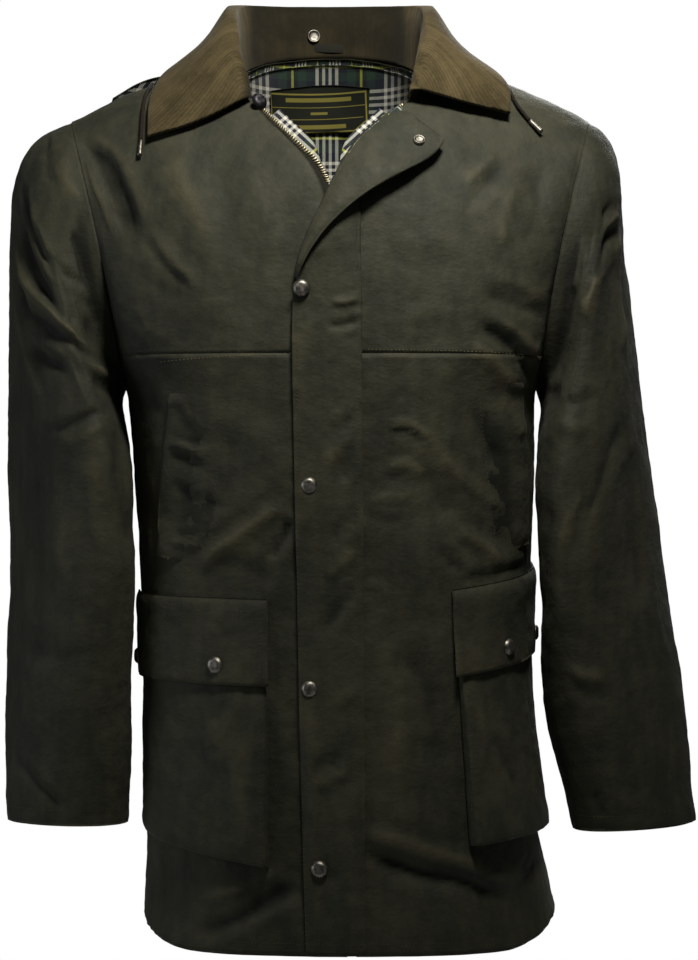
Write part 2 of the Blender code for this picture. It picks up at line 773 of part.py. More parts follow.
# ---------------------------------------------------------------- panels


def make_fronts(cloth):
    for name, side in (("right", RIGHT), ("left", LEFT)):
        turn = side == RIGHT
        wall(f"front_{name}", *FRONT_CELLS, partial(lower_panel, side), cloth, turn=turn)
        thin = lambda u, v: v > 0.999 or v < 0.001 or u > 0.999
        wall(f"yoke_{name}", *YOKE_CELLS, partial(upper_panel, side), cloth, turn=turn, thin=thin)


def on_back(u, v, lift):
    """Point of the back's cloth, moved outwards by lift."""
    along = on_grid(BACK, min(u + SHARE_STEP, 1), v) - on_grid(BACK, max(u - SHARE_STEP, 0), v)
    up = on_grid(BACK, u, min(v + SHARE_STEP, 1)) - on_grid(BACK, u, max(v - SHARE_STEP, 0))
    out = np.cross(up, along)
    return on_grid(BACK, u, v) + out / np.linalg.norm(out) * lift


def make_back(cloth):
    def thin(u, v):
        return v > 0.999 or (abs(2 * u - 1) > 0.999 and v > BACK_BELOW)

    wall("back", *BACK_CELLS, back_panel, cloth, turn=True, thin=thin)


def sleeve_point(rows, side, angle, along):
    """Point of a sleeve ring: along 0 at the armhole, 1 at the cuff."""
    if along <= 0:
        return armhole(side, angle) + np.array((side * SEAM_GAP, 0, 0))
    key = along * len(rows)
    tip_x, _, tip_z = SHOULDER_TIP
    pit_x = armhole(side, math.pi)[0]
    first = SleeveRow(side * tip_x, tip_z, pit_x, ARMPIT, SLEEVE_MIDDLE, ARMHOLE_FRONT, ARMHOLE_BACK, 0)
    table = (first, *rows)
    keys = list(range(len(table)))
    values = hermite(keys, np.array(table, float), key)
    row = SleeveRow(*values)
    centre_x, reach_x = (row.outer_x + row.inner_x) / 2, (row.outer_x - row.inner_x) / 2
    centre_z, reach_z = (row.outer_z + row.inner_z) / 2, (row.outer_z - row.inner_z) / 2
    turn = math.sin(angle)
    depth = row.front if turn > 0 else row.back
    point = np.array(
        (
            centre_x + reach_x * math.cos(angle),
            row.middle_y - depth * turn - row.skew * math.cos(angle),
            centre_z + reach_z * math.cos(angle),
        )
    )
    out = np.array((math.cos(angle) * side, -turn, 0.0))
    folds = SLEEVE_FOLDS_RIGHT if side == RIGHT else SLEEVE_FOLDS_LEFT
    facing = smooth(abs(turn) * 1.6 - 0.2) * smooth(along * FADE_ZIP)
    shift = 0 if turn > 0 else SLEEVE_BACK_SHIFT
    return point + out * fold_depth(folds, point[0], point[2] + shift) * facing


def make_sleeves(cloth):
    for name, side, rows in (("right", RIGHT, SLEEVE_RIGHT), ("left", LEFT, SLEEVE_LEFT)):

        def point(u, v, side=side, rows=rows):
            return sleeve_point(rows, side, 2 * math.pi * (u % 1.0), v)

        turn = side == RIGHT
        wall(f"sleeve_{name}", *SLEEVE_CELLS, point, cloth, turn=turn, ring=True, thin=lambda u, v: v < 0.001)


# ---------------------------------------------------------------- collar, storm flap, pockets


def collar_point(u, v):
    """u from the right front end round the back, v from the neck seam over the roll to the leaf's edge."""
    share = 2 * u - 1
    side = 1 if share >= 0 else -1
    ends = COLLAR_LEFT if side > 0 else COLLAR_RIGHT
    stations = [np.array(row, float) for row in COLLAR_BACK + ends]
    keys = [k / (len(stations) - 1) for k in range(len(stations))]
    profile = hermite(keys, np.array(stations), abs(share))
    x, y, z = through(profile, v)
    return np.array((side * x, y, z))


def make_collar(corduroy):
    wall("collar", *COLLAR_CELLS, collar_point, corduroy, thickness=CORDUROY, turn=False)


def storm_flap_point(u, v):
    """u 0 at the sewn edge, 0.5 at the turning line and 1 at the free edge; v 0 at the hem."""
    keys = list(range(len(STORM_FLAP)))
    row = FlapRow(*hermite(keys, np.array(STORM_FLAP, float), v * (len(STORM_FLAP) - 1)))
    base = CLOTH + REST_GAP
    if u <= 0.5:
        share = u / 0.5
        x, z = mix(row.sewn_x, row.turn_x, share), row.z
        lift = base + row.lift * math.sin(share * math.pi / 2)
    else:
        share = (u - 0.5) / 0.5
        x, z = mix(row.turn_x, row.free_x, share), mix(row.z, row.free_z, share)
        folded = smooth((row.free_x - row.turn_x) / FOLD_FULL + 0.5)
        over = row.lift + FOLD_ROUND * math.sin(min(share * 3, 1) * math.pi / 2) * folded
        lift = base + over
    return np.array((x, front_y(x, z) - lift, z))


def on_flap(u, v):
    """Point of the storm flap and its outward direction."""
    along = on_grid(FLAP, min(u + FLAP_STEP, 1), v) - on_grid(FLAP, max(u - FLAP_STEP, 0), v)
    up = on_grid(FLAP, u, min(v + FLAP_STEP, 1)) - on_grid(FLAP, u, max(v - FLAP_STEP, 0))
    out = np.cross(along, up)
    out /= np.linalg.norm(out)
    return on_grid(FLAP, u, v), out if out[1] < 0 else -out


def flap_place(x, z):
    """Shares of the storm flap at a place seen from the front."""
    shares = [(i / 40, j / 280) for i in range(20, 41) for j in range(281)]
    return min(shares, key=lambda share: sum((on_grid(FLAP, *share)[[0, 2]] - (x, z)) ** 2))


def make_storm_flap(cloth):
    wall("storm_flap", *FLAP_CELLS, storm_flap_point, cloth, turn=True)


def pocket_levels(pocket, share):
    return mix(pocket.top_in, pocket.top_out, share), mix(pocket.low_in, pocket.low_out, share)


def pocket_along(pocket, share, height):
    """Distance from the zip at a share of the pocket's width."""
    return mix(mix(pocket.inner_low, pocket.inner_top, height), pocket.outer, share)


def pocket_lift(pocket, share, height):
    """How far the pocket's face stands off the front: shallow at its mouth, deep at its foot."""
    deep = mix(pocket.deep_in, pocket.deep_out, share)
    return mix(deep, min(pocket.mouth, deep), smooth(height))


def make_pockets(cloth):
    columns, rows = POCKET_CELLS
    flap_rows = POCKET_FLAP_CELLS[1]
    for pocket in POCKETS:

        def bag(u, v, pocket=pocket):
            i, j = u * columns, v * rows
            share = min(max((i - 1) / (columns - 2), 0), 1)
            height = min(max((j - 1) / (rows - 1), 0), 1)
            top, low = pocket_levels(pocket, share)
            rim = min(i, columns - i, j, 1.0)
            flange_s = POCKET_FLANGE * (max(i - columns + 1, 0) - max(1 - i, 0))
            flange_z = -POCKET_FLANGE * max(1 - j, 0)
            lift = mix(RIM_GAP, pocket_lift(pocket, share, height), rim)
            distance = pocket_along(pocket, share, height) + flange_s
            return on_front(pocket.side, distance, mix(low, top, height) + flange_z, lift)

        def flap(u, v, pocket=pocket):
            top, low = pocket_levels(pocket, u)
            last = 1 - 1 / flap_rows
            level = mix(top + FLAP_OVER - FLAP_HEIGHT, top + POCKET_FLANGE, min(v / last, 1.0))
            level += (FLAP_OVER - POCKET_FLANGE) * max(v - last, 0) * flap_rows
            height = (level - low) / (top - low)
            over = pocket_lift(pocket, u, min(height, 1.0)) + CLOTH + REST_GAP
            lift = mix(over, CLOTH + REST_GAP, max(v - last, 0) * flap_rows)
            distance = pocket_along(pocket, u, 1.0) + FLAP_WIDER * (2 * u - 1)
            return on_front(pocket.side, distance, level, lift)

        turn = pocket.side == RIGHT
        wall(f"pocket_{pocket.name}", *POCKET_CELLS, bag, cloth, thickness=POCKET_CLOTH, turn=turn)
        wall(f"pocket_flap_{pocket.name}", *POCKET_FLAP_CELLS, flap, cloth, turn=turn)


def make_welts(cloth):
    for welt in WELTS:

        def point(u, v, welt=welt):
            inner = mix(np.array(welt.low_in), np.array(welt.top_in), v)
            mouth = mix(np.array(welt.low_mouth), np.array(welt.top_mouth), v)
            x, z = mix(inner, mouth, u)
            opened = MOUTH_STAND_OFF * u * u * math.sin(math.pi * v)
            out = front_normal(x, z) * (WELT_CLOTH + RIM_GAP + opened)
            return np.array((x, front_y(x, z), z)) + out

        wall(f"welt_{welt.name}", *WELT_CELLS, point, cloth, thickness=WELT_CLOTH, turn=welt.side == RIGHT)


# ---------------------------------------------------------------- zip, lining, label


def zip_path(side, share):
    """Front edge from hem to neck: share 0 to 1."""
    if share < ZIP_OPEN_SHARE:
        level = mix(HEM_FRONT + ZIP_ABOVE_HEM, OPEN_FROM, share / ZIP_OPEN_SHARE)
        return front_edge(side, level)
    points = [front_edge(side, OPEN_FROM)]
    points += [np.array((side * x, y, z), float) for x, y, z in OPEN_EDGE]
    end = neck_seam(side) - np.array((0, 0, ZIP_BELOW_NECK))
    return through(points + [end], (share - ZIP_OPEN_SHARE) / (1 - ZIP_OPEN_SHARE))


def inward_of(side, share):
    """Direction across the front edge, from the cloth towards the middle of the opening."""
    run = zip_path(side, min(share + 0.01, 1.0)) - zip_path(side, max(share - 0.01, 0.0))
    run /= np.linalg.norm(run)
    across = np.cross(run, np.array((0.0, -1.0, 0.0)))
    across /= np.linalg.norm(across)
    return across if across[0] * side < 0 else -across


def tape_depth(share):
    """How far the tape's face lies behind the front edge's outer side."""
    start, length = TAPE_STEP
    return CLOTH + mix(TAPE_BEHIND, TAPE_BEHIND_OPEN, smooth((share - start) / length))


def make_zip(tape_cloth, metal):
    for name, side in (("right", RIGHT), ("left", LEFT)):

        def point(u, v, side=side):
            edge = zip_path(side, v)
            inward = inward_of(side, v)
            across = mix(-(TAPE_WIDTH - ZIP_HALF_GAP), ZIP_HALF_GAP - SEAM_GAP / 2, u)
            depth = tape_depth(v)
            place = edge + inward * across
            sink = front_y(place[0], place[2]) - front_y(edge[0], edge[2]) if across < 0 else 0.0
            return place + np.array((0, depth + sink, 0))

        wall(f"zip_tape_{name}", *TAPE_CELLS, point, tape_cloth, thickness=TAPE, turn=side == LEFT)

    x, z = SLIDER_AT
    edge = front_edge(RIGHT, z)
    run = front_edge(RIGHT, z - SLIDER_HEIGHT) - edge
    run[0] = 0.0
    run /= np.linalg.norm(run)
    out = np.array((0.0, run[2], -run[1]))
    face = np.array((x, edge[1], z)) + out * SLIDER_STAND_OUT
    placed_profile("zip_slider", SLIDER_PROFILE, SLIDER_HEIGHT, face, -run, out, metal)
    pin = face - run * PULL_BELOW_TOP + out * (PIN_RADIUS + SEAM_GAP)
    placed_side("zip_pull", pull_profile(), PULL_WIDTH, pin, run, out, metal)


def extruded(outline, depth):
    """Solid of an outline in X and Y, depth high along Z about its middle."""
    shape = bmesh.new()
    corners = [shape.verts.new((x * MM, y * MM, -depth / 2 * MM)) for x, y in outline]
    face = shape.faces.new(corners)
    grown = bmesh.ops.extrude_face_region(shape, geom=[face])
    moved = [item for item in grown["geom"] if isinstance(item, bmesh.types.BMVert)]
    bmesh.ops.translate(shape, verts=moved, vec=(0, 0, depth * MM))
    bmesh.ops.recalc_face_normals(shape, faces=shape.faces)
    return shape


def set_in(name, shape, place, axes, finish):
    """Piece set at a place, its own X, Y and Z along the three axes."""
    mesh = bpy.data.meshes.new(name)
    shape.to_mesh(mesh)
    shape.free()
    obj = link(bpy.data.objects.new(name, mesh), finish)
    turn = Matrix([Vector(axis) for axis in axes]).transposed().to_4x4()
    obj.matrix_world = Matrix.Translation(Vector(place) * MM) @ turn
    return obj


def placed_profile(name, outline, height, face, up, out, finish):
    """Upright channel whose face lies at a place: the outline's Y points outwards."""
    across = np.cross(out, up)
    return set_in(name, extruded(outline, height), face, (across, out, up), finish)


def pull_profile():
    """Side view of the pull: a round barrel with a flat tab hanging down, Y pointing outwards."""
    half = PULL_THICK / 2
    start = math.asin(half / PIN_RADIUS)
    turn = 2 * math.pi - 2 * start
    barrel = [start + turn * i / PIN_SIDES for i in range(PIN_SIDES + 1)]
    outline = [(PIN_RADIUS * math.cos(angle), PIN_RADIUS * math.sin(angle)) for angle in barrel]
    return outline + [(PULL_LENGTH, -half), (PULL_LENGTH, half)]


def placed_side(name, outline, width, pin, run, out, finish):
    """Tab whose outline's X hangs along run from the pin and whose Y points outwards."""
    across = np.cross(run, out)
    return set_in(name, extruded(outline, width), pin, (run, out, across), finish)


def make_lining(tartan, label_cloth):
    inset = CLOTH + REST_GAP
    first, last = LINING_COLUMNS
    low, high = LINING_ROWS
    columns, rows = last - first, high - low

    def back_lining(u, v):
        top = (high - LINING_SHY * (v > 0.999)) / BACK_CELLS[1]
        return on_back(mix(first, last, u) / BACK_CELLS[0], mix(low / BACK_CELLS[1], top, v), -inset)

    wall("lining_back", columns, rows, back_lining, tartan, thickness=LINING, turn=True)

    for name, side in (("right", RIGHT), ("left", LEFT)):

        def facing(u, v, side=side):
            share = mix(*FACING_SHARES, v)
            edge = zip_path(side, share)
            inward = inward_of(side, share)
            across = mix(FACING_OUTER, mix(*FACING_INNER, smooth(v * FACING_WIDENS)), u)
            back = tape_depth(share) + TAPE + FACING_BEHIND + FACING_SLOPE * max(across, 0)
            place = edge + inward * across
            sink = front_y(place[0], place[2]) - front_y(edge[0], edge[2]) if across < 0 else 0.0
            return place + np.array((0, back + sink, 0))

        wall(f"facing_{name}", *FACING_CELLS, facing, tartan, thickness=LINING, turn=side == LEFT)

    def label(u, v):
        cut = LABEL_CORNERS * max(1 - v * LABEL_CELLS[1], 0)
        across = mix(*LABEL_ACROSS, mix(u, 0.5, cut))
        return on_back(across, mix(*LABEL_UP, v), -(inset + LINING + LABEL_OFF))

    wall("neck_label", *LABEL_CELLS, label, label_cloth, thickness=LABEL_CLOTH, turn=True)


# ---------------------------------------------------------------- hood and cords


def hood_inner(share, height):
    """Inner side of the hood, on the back: share -1 to 1, height from its foot (0) to the neck (1)."""
    foot = mix(HOOD_DROP, HOOD_DROP_ENDS, smooth(abs(share)) ** HOOD_DROP_CURVE)
    level = mix(foot, HOOD_TOP, height)
    width = (HOOD_SPAN_RIGHT if share < 0 else HOOD_SPAN_LEFT) * mix(HOOD_NARROWS, 1.0, height)
    v = BACK_BELOW + (1 - BACK_BELOW) * level
    return on_back((share * width + 1) / 2, v, HOOD_LIFT + CLOTH)


def hood_point(u, v):
    """From the neck down the back to the foot (v 0.5), then up the outer side to the rim."""
    share = 2 * u - 1
    if v <= 0.5:
        return hood_inner(share, 1 - v / 0.5)
    rise = (v - 0.5) / 0.5
    foot = hood_inner(share, 0.0)
    side = RIGHT if share < 0 else LEFT
    ends = abs(share)
    top = hood_inner(share, HOOD_RIM)
    stand = mix(HOOD_STAND_OFF, HOOD_STAND_OFF_ENDS, smooth(ends))
    lifted = mix(HOOD_RIM_RISE, HOOD_RIM_RISE_ENDS[side], smooth(ends * HOOD_RIM_REACH))
    lifted *= 1 - HOOD_CORNER * ends**12
    lifted += HOOD_PEAK[side] * math.exp(-(((ends - HOOD_PEAK_AT) / HOOD_PEAK_WIDTH) ** 2))
    rim = top + np.array((0.0, stand, lifted))
    bulge = math.sin(math.pi * mix(*HOOD_BULGE_SPAN, rise)) * mix(*HOOD_BULGE, smooth(ends))
    way_x, way_y, way_z = HOOD_BULGE_WAY
    return mix(foot, rim, rise) + np.array((side * way_x * ends, way_y, way_z)) * bulge


def make_hood(cloth):
    wall("hood", *HOOD_CELLS, hood_point, cloth, turn=True)


def make_cords(cord, metal):
    routes = {"right": CORD_RIGHT, "left": CORD_LEFT}
    ends = {"right": TIP_RIGHT, "left": TIP_LEFT}
    for name, route in routes.items():
        curve = bpy.data.curves.new(f"drawcord_{name}", "CURVE")
        curve.dimensions = "3D"
        curve.bevel_depth = CORD_DIAMETER / 2 * MM
        curve.bevel_resolution = 2
        curve.use_fill_caps = True
        spline = curve.splines.new("POLY")
        spline.points.add(CORD_POINTS - 1)
        for i in range(CORD_POINTS):
            spline.points[i].co = (*(through(route, i / (CORD_POINTS - 1)) * MM), 1)
        obj = bpy.data.objects.new(f"drawcord_{name}", curve)
        collection.objects.link(obj)
        curve.materials.append(cord)
        start, end = np.array(route[-1], float), np.array(ends[name], float)
        run = (end - start) / np.linalg.norm(end - start)
        tip = bmesh.new()
        length = np.linalg.norm(end - start) - TIP_GAP
        bmesh.ops.create_cone(
            tip,
            cap_ends=True,
            segments=TIP_SIDES,
            radius1=TIP_DIAMETER / 2 * TIP_NECK * MM,
            radius2=TIP_DIAMETER / 2 * MM,
            depth=length * MM,
        )
        placed(f"cord_tip_{name}", tip, start + run * (length / 2 + TIP_GAP), run, metal)


# ---------------------------------------------------------------- snaps


def seated(cloth, place, normal, radius):
    """Place of a round piece, raised just clear of the cloth under it."""
    offset = cloth - place
    high = offset @ normal
    flat = np.linalg.norm(offset - np.outer(high, normal), axis=1)
    return place + normal * (high[flat < radius + 1].max() + SNAP_GAP)


def make_snaps(metal, dark):
    flap_cloth = samples_of(FLAP, 40, 420)
    collar_cloth = samples_of(grid_of(collar_point, *COLLAR_CELLS), 200, 60)
    place, normal = on_flap(*flap_place(*FLAP_SOCKET))
    place = seated(flap_cloth, place, normal, SOCKET_RADIUS) + normal * CLOTH
    placed("snap_flap_socket", ring_snap(SOCKET_RADIUS, SNAP_HEIGHT), place, normal, metal)
    share, rise = COLLAR_RING
    place = collar_point(share, rise)
    across = collar_point(share + 0.02, rise) - collar_point(share - 0.02, rise)
    normal = np.cross(across, collar_point(share, rise + 0.02) - collar_point(share, rise - 0.02))
    normal /= np.linalg.norm(normal)
    place = seated(collar_cloth, place, normal, RING_RADIUS)
    placed("snap_collar_ring", ring_snap(RING_RADIUS, SNAP_HEIGHT), place, normal, metal)
    place, normal = np.array(THROAT_CAP), np.array(THROAT_FACES)
    placed("snap_throat", dome(SNAP_RADIUS, SNAP_HEIGHT), place, normal / np.linalg.norm(normal), dark)
    for number, (x, z) in enumerate(STORM_SNAPS, 1):
        place, normal = on_flap(*flap_place(x, z))
        place = seated(flap_cloth, place, normal, SNAP_RADIUS)
        placed(f"snap_storm_{number}", dome(SNAP_RADIUS, SNAP_HEIGHT), place, normal, metal)
    for pocket in POCKETS:
        for kind, share in (("front", pocket.snap), ("side", pocket.side_snap)):
            top, low = pocket_levels(pocket, share)
            level = top + FLAP_OVER - FLAP_HEIGHT + SNAP_ABOVE_EDGE
            height = (level - low) / (top - low)
            lift = pocket_lift(pocket, share, height) + CLOTH + REST_GAP + SNAP_GAP
            distance = pocket_along(pocket, share, 1.0)
            place = on_front(pocket.side, distance, level, lift)
            normal = on_front(pocket.side, distance, level, lift + 1) - place
            name = f"snap_pocket_{pocket.name}_{kind}"
            placed(name, dome(SNAP_RADIUS, SNAP_HEIGHT), place, normal, metal)


# Grids of the cloth that other pieces lie on
LOWER = {side: grid_of(partial(lower_panel, side), *FRONT_CELLS) for side in (RIGHT, LEFT)}
UPPER = {side: grid_of(partial(upper_panel, side), *YOKE_CELLS) for side in (RIGHT, LEFT)}
BACK = grid_of(back_panel, *BACK_CELLS)
SAMPLES = {side: front_samples(side) for side in (RIGHT, LEFT)}
FLAP = grid_of(storm_flap_point, *FLAP_CELLS)


def report():
    graph = bpy.context.evaluated_depsgraph_get()
    total = 0
    for obj in collection.objects:
        mesh = obj.evaluated_get(graph).to_mesh()
        mesh.calc_loop_triangles()
        total += len(mesh.loop_triangles)
        print(f"{obj.name:28} {len(mesh.loop_triangles):6} triangles")
    print("total", total)


def main():
    clear_scene()
    cloth = material("waxed_cotton", (0.075, 0.070, 0.045), 0.55)
    corduroy = material("corduroy", (0.105, 0.070, 0.030), 0.9)
    tartan = material("tartan", (0.10, 0.13, 0.12), 0.8)
    tape = material("zip_tape", (0.02, 0.02, 0.018), 0.8)
    metal = material("snap_metal", (0.42, 0.41, 0.39), 0.35, 1.0)
    dark = material("dark_metal", (0.08, 0.08, 0.08), 0.4, 1.0)
    label = material("label", (0.03, 0.028, 0.022), 0.8)
    cord = material("cord", (0.025, 0.022, 0.018), 0.8)
    make_fronts(cloth)
    make_back(cloth)
    make_sleeves(cloth)
    make_collar(corduroy)
    make_storm_flap(cloth)
    make_pockets(cloth)
    make_welts(cloth)
    make_zip(tape, metal)
    make_lining(tartan, label)
    make_hood(cloth)
    make_cords(cord, metal)
    make_snaps(metal, dark)
    report()


main()
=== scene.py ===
# %% [markdown]
# # A waxed cotton jacket
# A field coat is cut from cotton that was soaked in wax, so it hangs in broad, stiff folds and
# catches light in dull, uneven patches. This lesson dresses its plain imported solids: each panel
# becomes fine cloth with creases, and gets its stitching, snaps, zip teeth, cords and finishes.
# The imported solids fix every size, so the first step is to load them.

# %% Load the imported frame
import math
from collections import namedtuple

import bmesh
import bpy
import numpy as np
from mathutils import Matrix, Vector, noise
from mathutils.bvhtree import BVHTree
from mathutils.kdtree import KDTree


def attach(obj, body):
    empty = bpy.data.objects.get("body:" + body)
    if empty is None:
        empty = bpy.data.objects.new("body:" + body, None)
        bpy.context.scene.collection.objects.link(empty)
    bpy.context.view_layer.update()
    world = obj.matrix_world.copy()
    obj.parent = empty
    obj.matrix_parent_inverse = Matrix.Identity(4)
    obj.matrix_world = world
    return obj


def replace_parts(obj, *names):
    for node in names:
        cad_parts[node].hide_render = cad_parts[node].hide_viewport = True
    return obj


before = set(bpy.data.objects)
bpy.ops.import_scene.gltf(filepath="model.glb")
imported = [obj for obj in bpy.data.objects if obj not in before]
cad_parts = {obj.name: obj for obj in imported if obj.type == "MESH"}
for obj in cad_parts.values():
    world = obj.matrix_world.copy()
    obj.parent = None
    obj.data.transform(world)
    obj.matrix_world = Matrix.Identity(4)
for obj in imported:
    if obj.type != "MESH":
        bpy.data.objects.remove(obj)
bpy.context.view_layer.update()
MM = 0.001


def added(name, data):
    """A new object in the scene."""
    thing = bpy.data.objects.new(name, data)
    bpy.context.scene.collection.objects.link(thing)
    return thing


print("solids in the frame:", len(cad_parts))

# %% [markdown]
# ## The eye
# The coat is looked at straight from the front, from two and a half metres, level with the middle
# of its body. A long lens keeps the sleeves and the neck in their true proportions. The camera
# could be set by eye, but working its lens out from the height that the picture spans keeps it
# repeatable.

# %% Camera
PICTURE = (698, 960)
PIXEL = 0.92 * MM
AIM = Vector((0.0175, 0.0, -0.357))
STAND_BACK = 2.5

camera = added("camera", bpy.data.cameras.new("camera"))
camera.data.lens = camera.data.sensor_width * STAND_BACK / (PICTURE[1] * PIXEL)
camera.location = AIM + Vector((0.0, -STAND_BACK, 0.0))
camera.rotation_euler = (math.radians(90), 0.0, 0.0)
bpy.context.scene.camera = camera
print("lens:", round(camera.data.lens, 1), "mm")

# %% [markdown]
# ## Finishes as written sums
# Every finish here is worked out by the shader, with no pictures. A shader is a graph of nodes,
# which is slow to read, so two small classes let it be written as sums: one wraps a value, and
# the other makes the nodes of one finish. Colours are written as a dyer's hex codes and turned
# into light.


# %% Shader maths
def dye(code):
    """Linear colour of a six-figure hex code."""
    parts = [int(code[i : i + 2], 16) / 255 for i in (0, 2, 4)]
    light = [p / 12.92 if p <= 0.04045 else ((p + 0.055) / 1.055) ** 2.4 for p in parts]
    return (*light, 1.0)


class Term:
    """A value inside a finish, on which sums can be written."""

    def __init__(self, finish, socket):
        self.finish = finish
        self.socket = socket

    def part(self, name):
        """One of the three numbers of a vector."""
        return self.finish.add("ShaderNodeSeparateXYZ", {}, {0: self}, out=name)

    def turned(self, operation):
        """A function of one value, such as its sine or its fraction."""
        return self.finish.add("ShaderNodeMath", {"operation": operation}, {0: self})


def sum_of(operation, swapped):
    """The method of a term that works out one kind of sum with another value."""

    def method(term, other):
        first, second = (other, term) if swapped else (term, other)
        return term.finish.add("ShaderNodeMath", {"operation": operation}, {0: first, 1: second})

    return method


SUMS = {"add": "ADD", "sub": "SUBTRACT", "mul": "MULTIPLY", "truediv": "DIVIDE"}
for sign, operation in SUMS.items():
    setattr(Term, f"__{sign}__", sum_of(operation, swapped=False))
    setattr(Term, f"__r{sign}__", sum_of(operation, swapped=True))


class Finish:
    """One material while it is made."""

    def __init__(self, name, **fixed):
        self.made = bpy.data.materials.new(name)
        self.made.use_nodes = True
        self.tree = self.made.node_tree
        self.shader = self.tree.nodes["Principled BSDF"]
        for socket, value in fixed.items():
            self.shader.inputs[socket.replace("_", " ")].default_value = value

    def add(self, kind, settings, sockets, out=0):
        """A node: its settings first, then a value or a link for each socket."""
        node = self.tree.nodes.new(kind)
        for setting, value in settings.items():
            if setting == "stops":
                for _ in range(len(value) - len(node.color_ramp.elements)):
                    node.color_ramp.elements.new(1.0)
                for element, (place, colour) in zip(node.color_ramp.elements, value):
                    element.position = place
                    element.color = colour
            elif setting == "steps":
                node.color_ramp.interpolation = value
            else:
                setattr(node, setting, value)
        for socket, value in sockets.items():
            if isinstance(value, Term):
                self.tree.links.new(value.socket, node.inputs[socket])
            else:
                node.inputs[socket].default_value = value
        return Term(self, node.outputs[out])

    def place(self):
        """Position in the coat's own space."""
        return self.add("ShaderNodeTexCoord", {}, {}, out="Object")

    def kept(self, name, out="Fac"):
        """An attribute that the piece carries."""
        return self.add("ShaderNodeAttribute", {"attribute_name": name}, {}, out=out)

    def grain(self, where, scale, detail=3.0, rough=0.55, stretch=(1.0, 1.0, 1.0)):
        """Soft random pattern from 0 to 1, stretched along an axis."""
        spread = self.add("ShaderNodeMapping", {}, {"Vector": where, "Scale": stretch})
        return self.add(
            "ShaderNodeTexNoise",
            {},
            {"Vector": spread, "Scale": scale, "Detail": detail, "Roughness": rough},
        )

    def between(self, value, low, high):
        """Value spread so that low gives 0 and high gives 1."""
        return self.add(
            "ShaderNodeMapRange",
            {"clamp": True, "interpolation_type": "SMOOTHSTEP"},
            {"Value": value, "From Min": low, "From Max": high},
        )

    def blend(self, start, end, share):
        """Colour between two."""
        return self.add("ShaderNodeMix", {"data_type": "RGBA"}, {0: share, 6: start, 7: end}, out=2)

    def larger(self, first, second):
        """The larger of two values."""
        return self.add("ShaderNodeMath", {"operation": "MAXIMUM"}, {0: first, 1: second})

    def band(self, value, half):
        """1 where a value is within half of 0, with a soft edge."""
        return self.between(value.turned("ABSOLUTE"), half + 0.25, half - 0.25)

    def relief(self, height, strength, depth):
        """Bump normal from a height."""
        sockets = {"Strength": strength, "Distance": depth, "Height": height}
        return self.add("ShaderNodeBump", {}, sockets)

    def give(self, **links):
        """Feeds the shader's own sockets, and returns the finished material."""
        for socket, value in links.items():
            self.tree.links.new(value.socket, self.shader.inputs[socket.replace("_", " ")])
        return self.made


print("sums that a term can do:", ", ".join(SUMS))

# %% [markdown]
# ## Waxed cotton
# The cloth is a dense plain weave, dyed olive and then waxed. The wax settles unevenly: it darkens
# the cloth, leaves cloudy patches and fine flecks, and wears paler where the coat is bent and
# rubbed. Each piece carries a value that is high on a ridge and low in a trough. Ridges are painted
# paler, partly as that wear and partly as painted highlight, and troughs are painted much darker as
# painted shade. The fine crumple between the large folds is too small to model, so it is a bump.

# %% Waxed cotton
THREAD = 0.9 * MM
SHINE = 0.6

cloth = Finish("waxed_cotton", Specular_IOR_Level=0.22, Sheen_Weight=0.02, Sheen_Roughness=0.6)
where = cloth.place()
clouds = cloth.grain(where, 8.0, 4.0, 0.62)
flecks = cloth.grain(where, 85.0, 5.0, 0.72)
streaks = cloth.grain(where, 24.0, 5.0, 0.68, stretch=(2.4, 2.4, 0.7))
patches = cloth.between(clouds * 0.5 + streaks * 0.5, 0.34, 0.66)
body = cloth.blend(dye("292b23"), dye("3d3d30"), patches)
body = cloth.blend(body, dye("54503c"), cloth.between(flecks, 0.55, 0.85) * 0.22)
body = cloth.blend(body, dye("1a1a13"), cloth.between(flecks, 0.45, 0.2) * 0.25)
rub = cloth.kept("rub")
# Paler on ridges and rubbed edges: partly wear, partly painted highlight.
body = cloth.blend(body, dye("625c43"), cloth.between(rub, 0.15, 1.0) * 0.28)
# Painted shade: troughs are darkened nearly to black.
body = cloth.blend(body, dye("0d0e0a"), cloth.between(rub, -0.2, -1.7) * 0.85)
weave = cloth.kept("weave", "Vector")
across = (weave.part("X") * (math.tau / THREAD)).turned("SINE")
along = (weave.part("Y") * (math.tau / THREAD)).turned("SINE")
crumple = cloth.grain(where, 30.0, 6.0, 0.6, stretch=(1.0, 1.0, 1.3))
pebble = cloth.grain(where, 260.0, 3.0, 0.6)
height = crumple + pebble * 0.14 + across * along * 0.012
rough = SHINE + clouds * 0.16 - cloth.between(flecks, 0.5, 0.8) * 0.1
bump = cloth.relief(height, 0.5, 5.0 * MM)
outer_cloth = cloth.give(Base_Color=body, Roughness=rough, Normal=bump)
print("made", outer_cloth.name)

# %% [markdown]
# ## Corduroy
# The collar is needlecord: fine ribs of cut pile that run from the neck down to the collar's edge.
# Pile looks dark between the ribs and pale on top, so the ribs go into both the colour and the
# bump. Its ridges and rubbed edges are painted paler, partly as wear and partly as painted
# highlight. The inner face of the stand, at the back of the neck, is painted dark as painted shade.

# %% Corduroy
WALE = 2.7 * MM

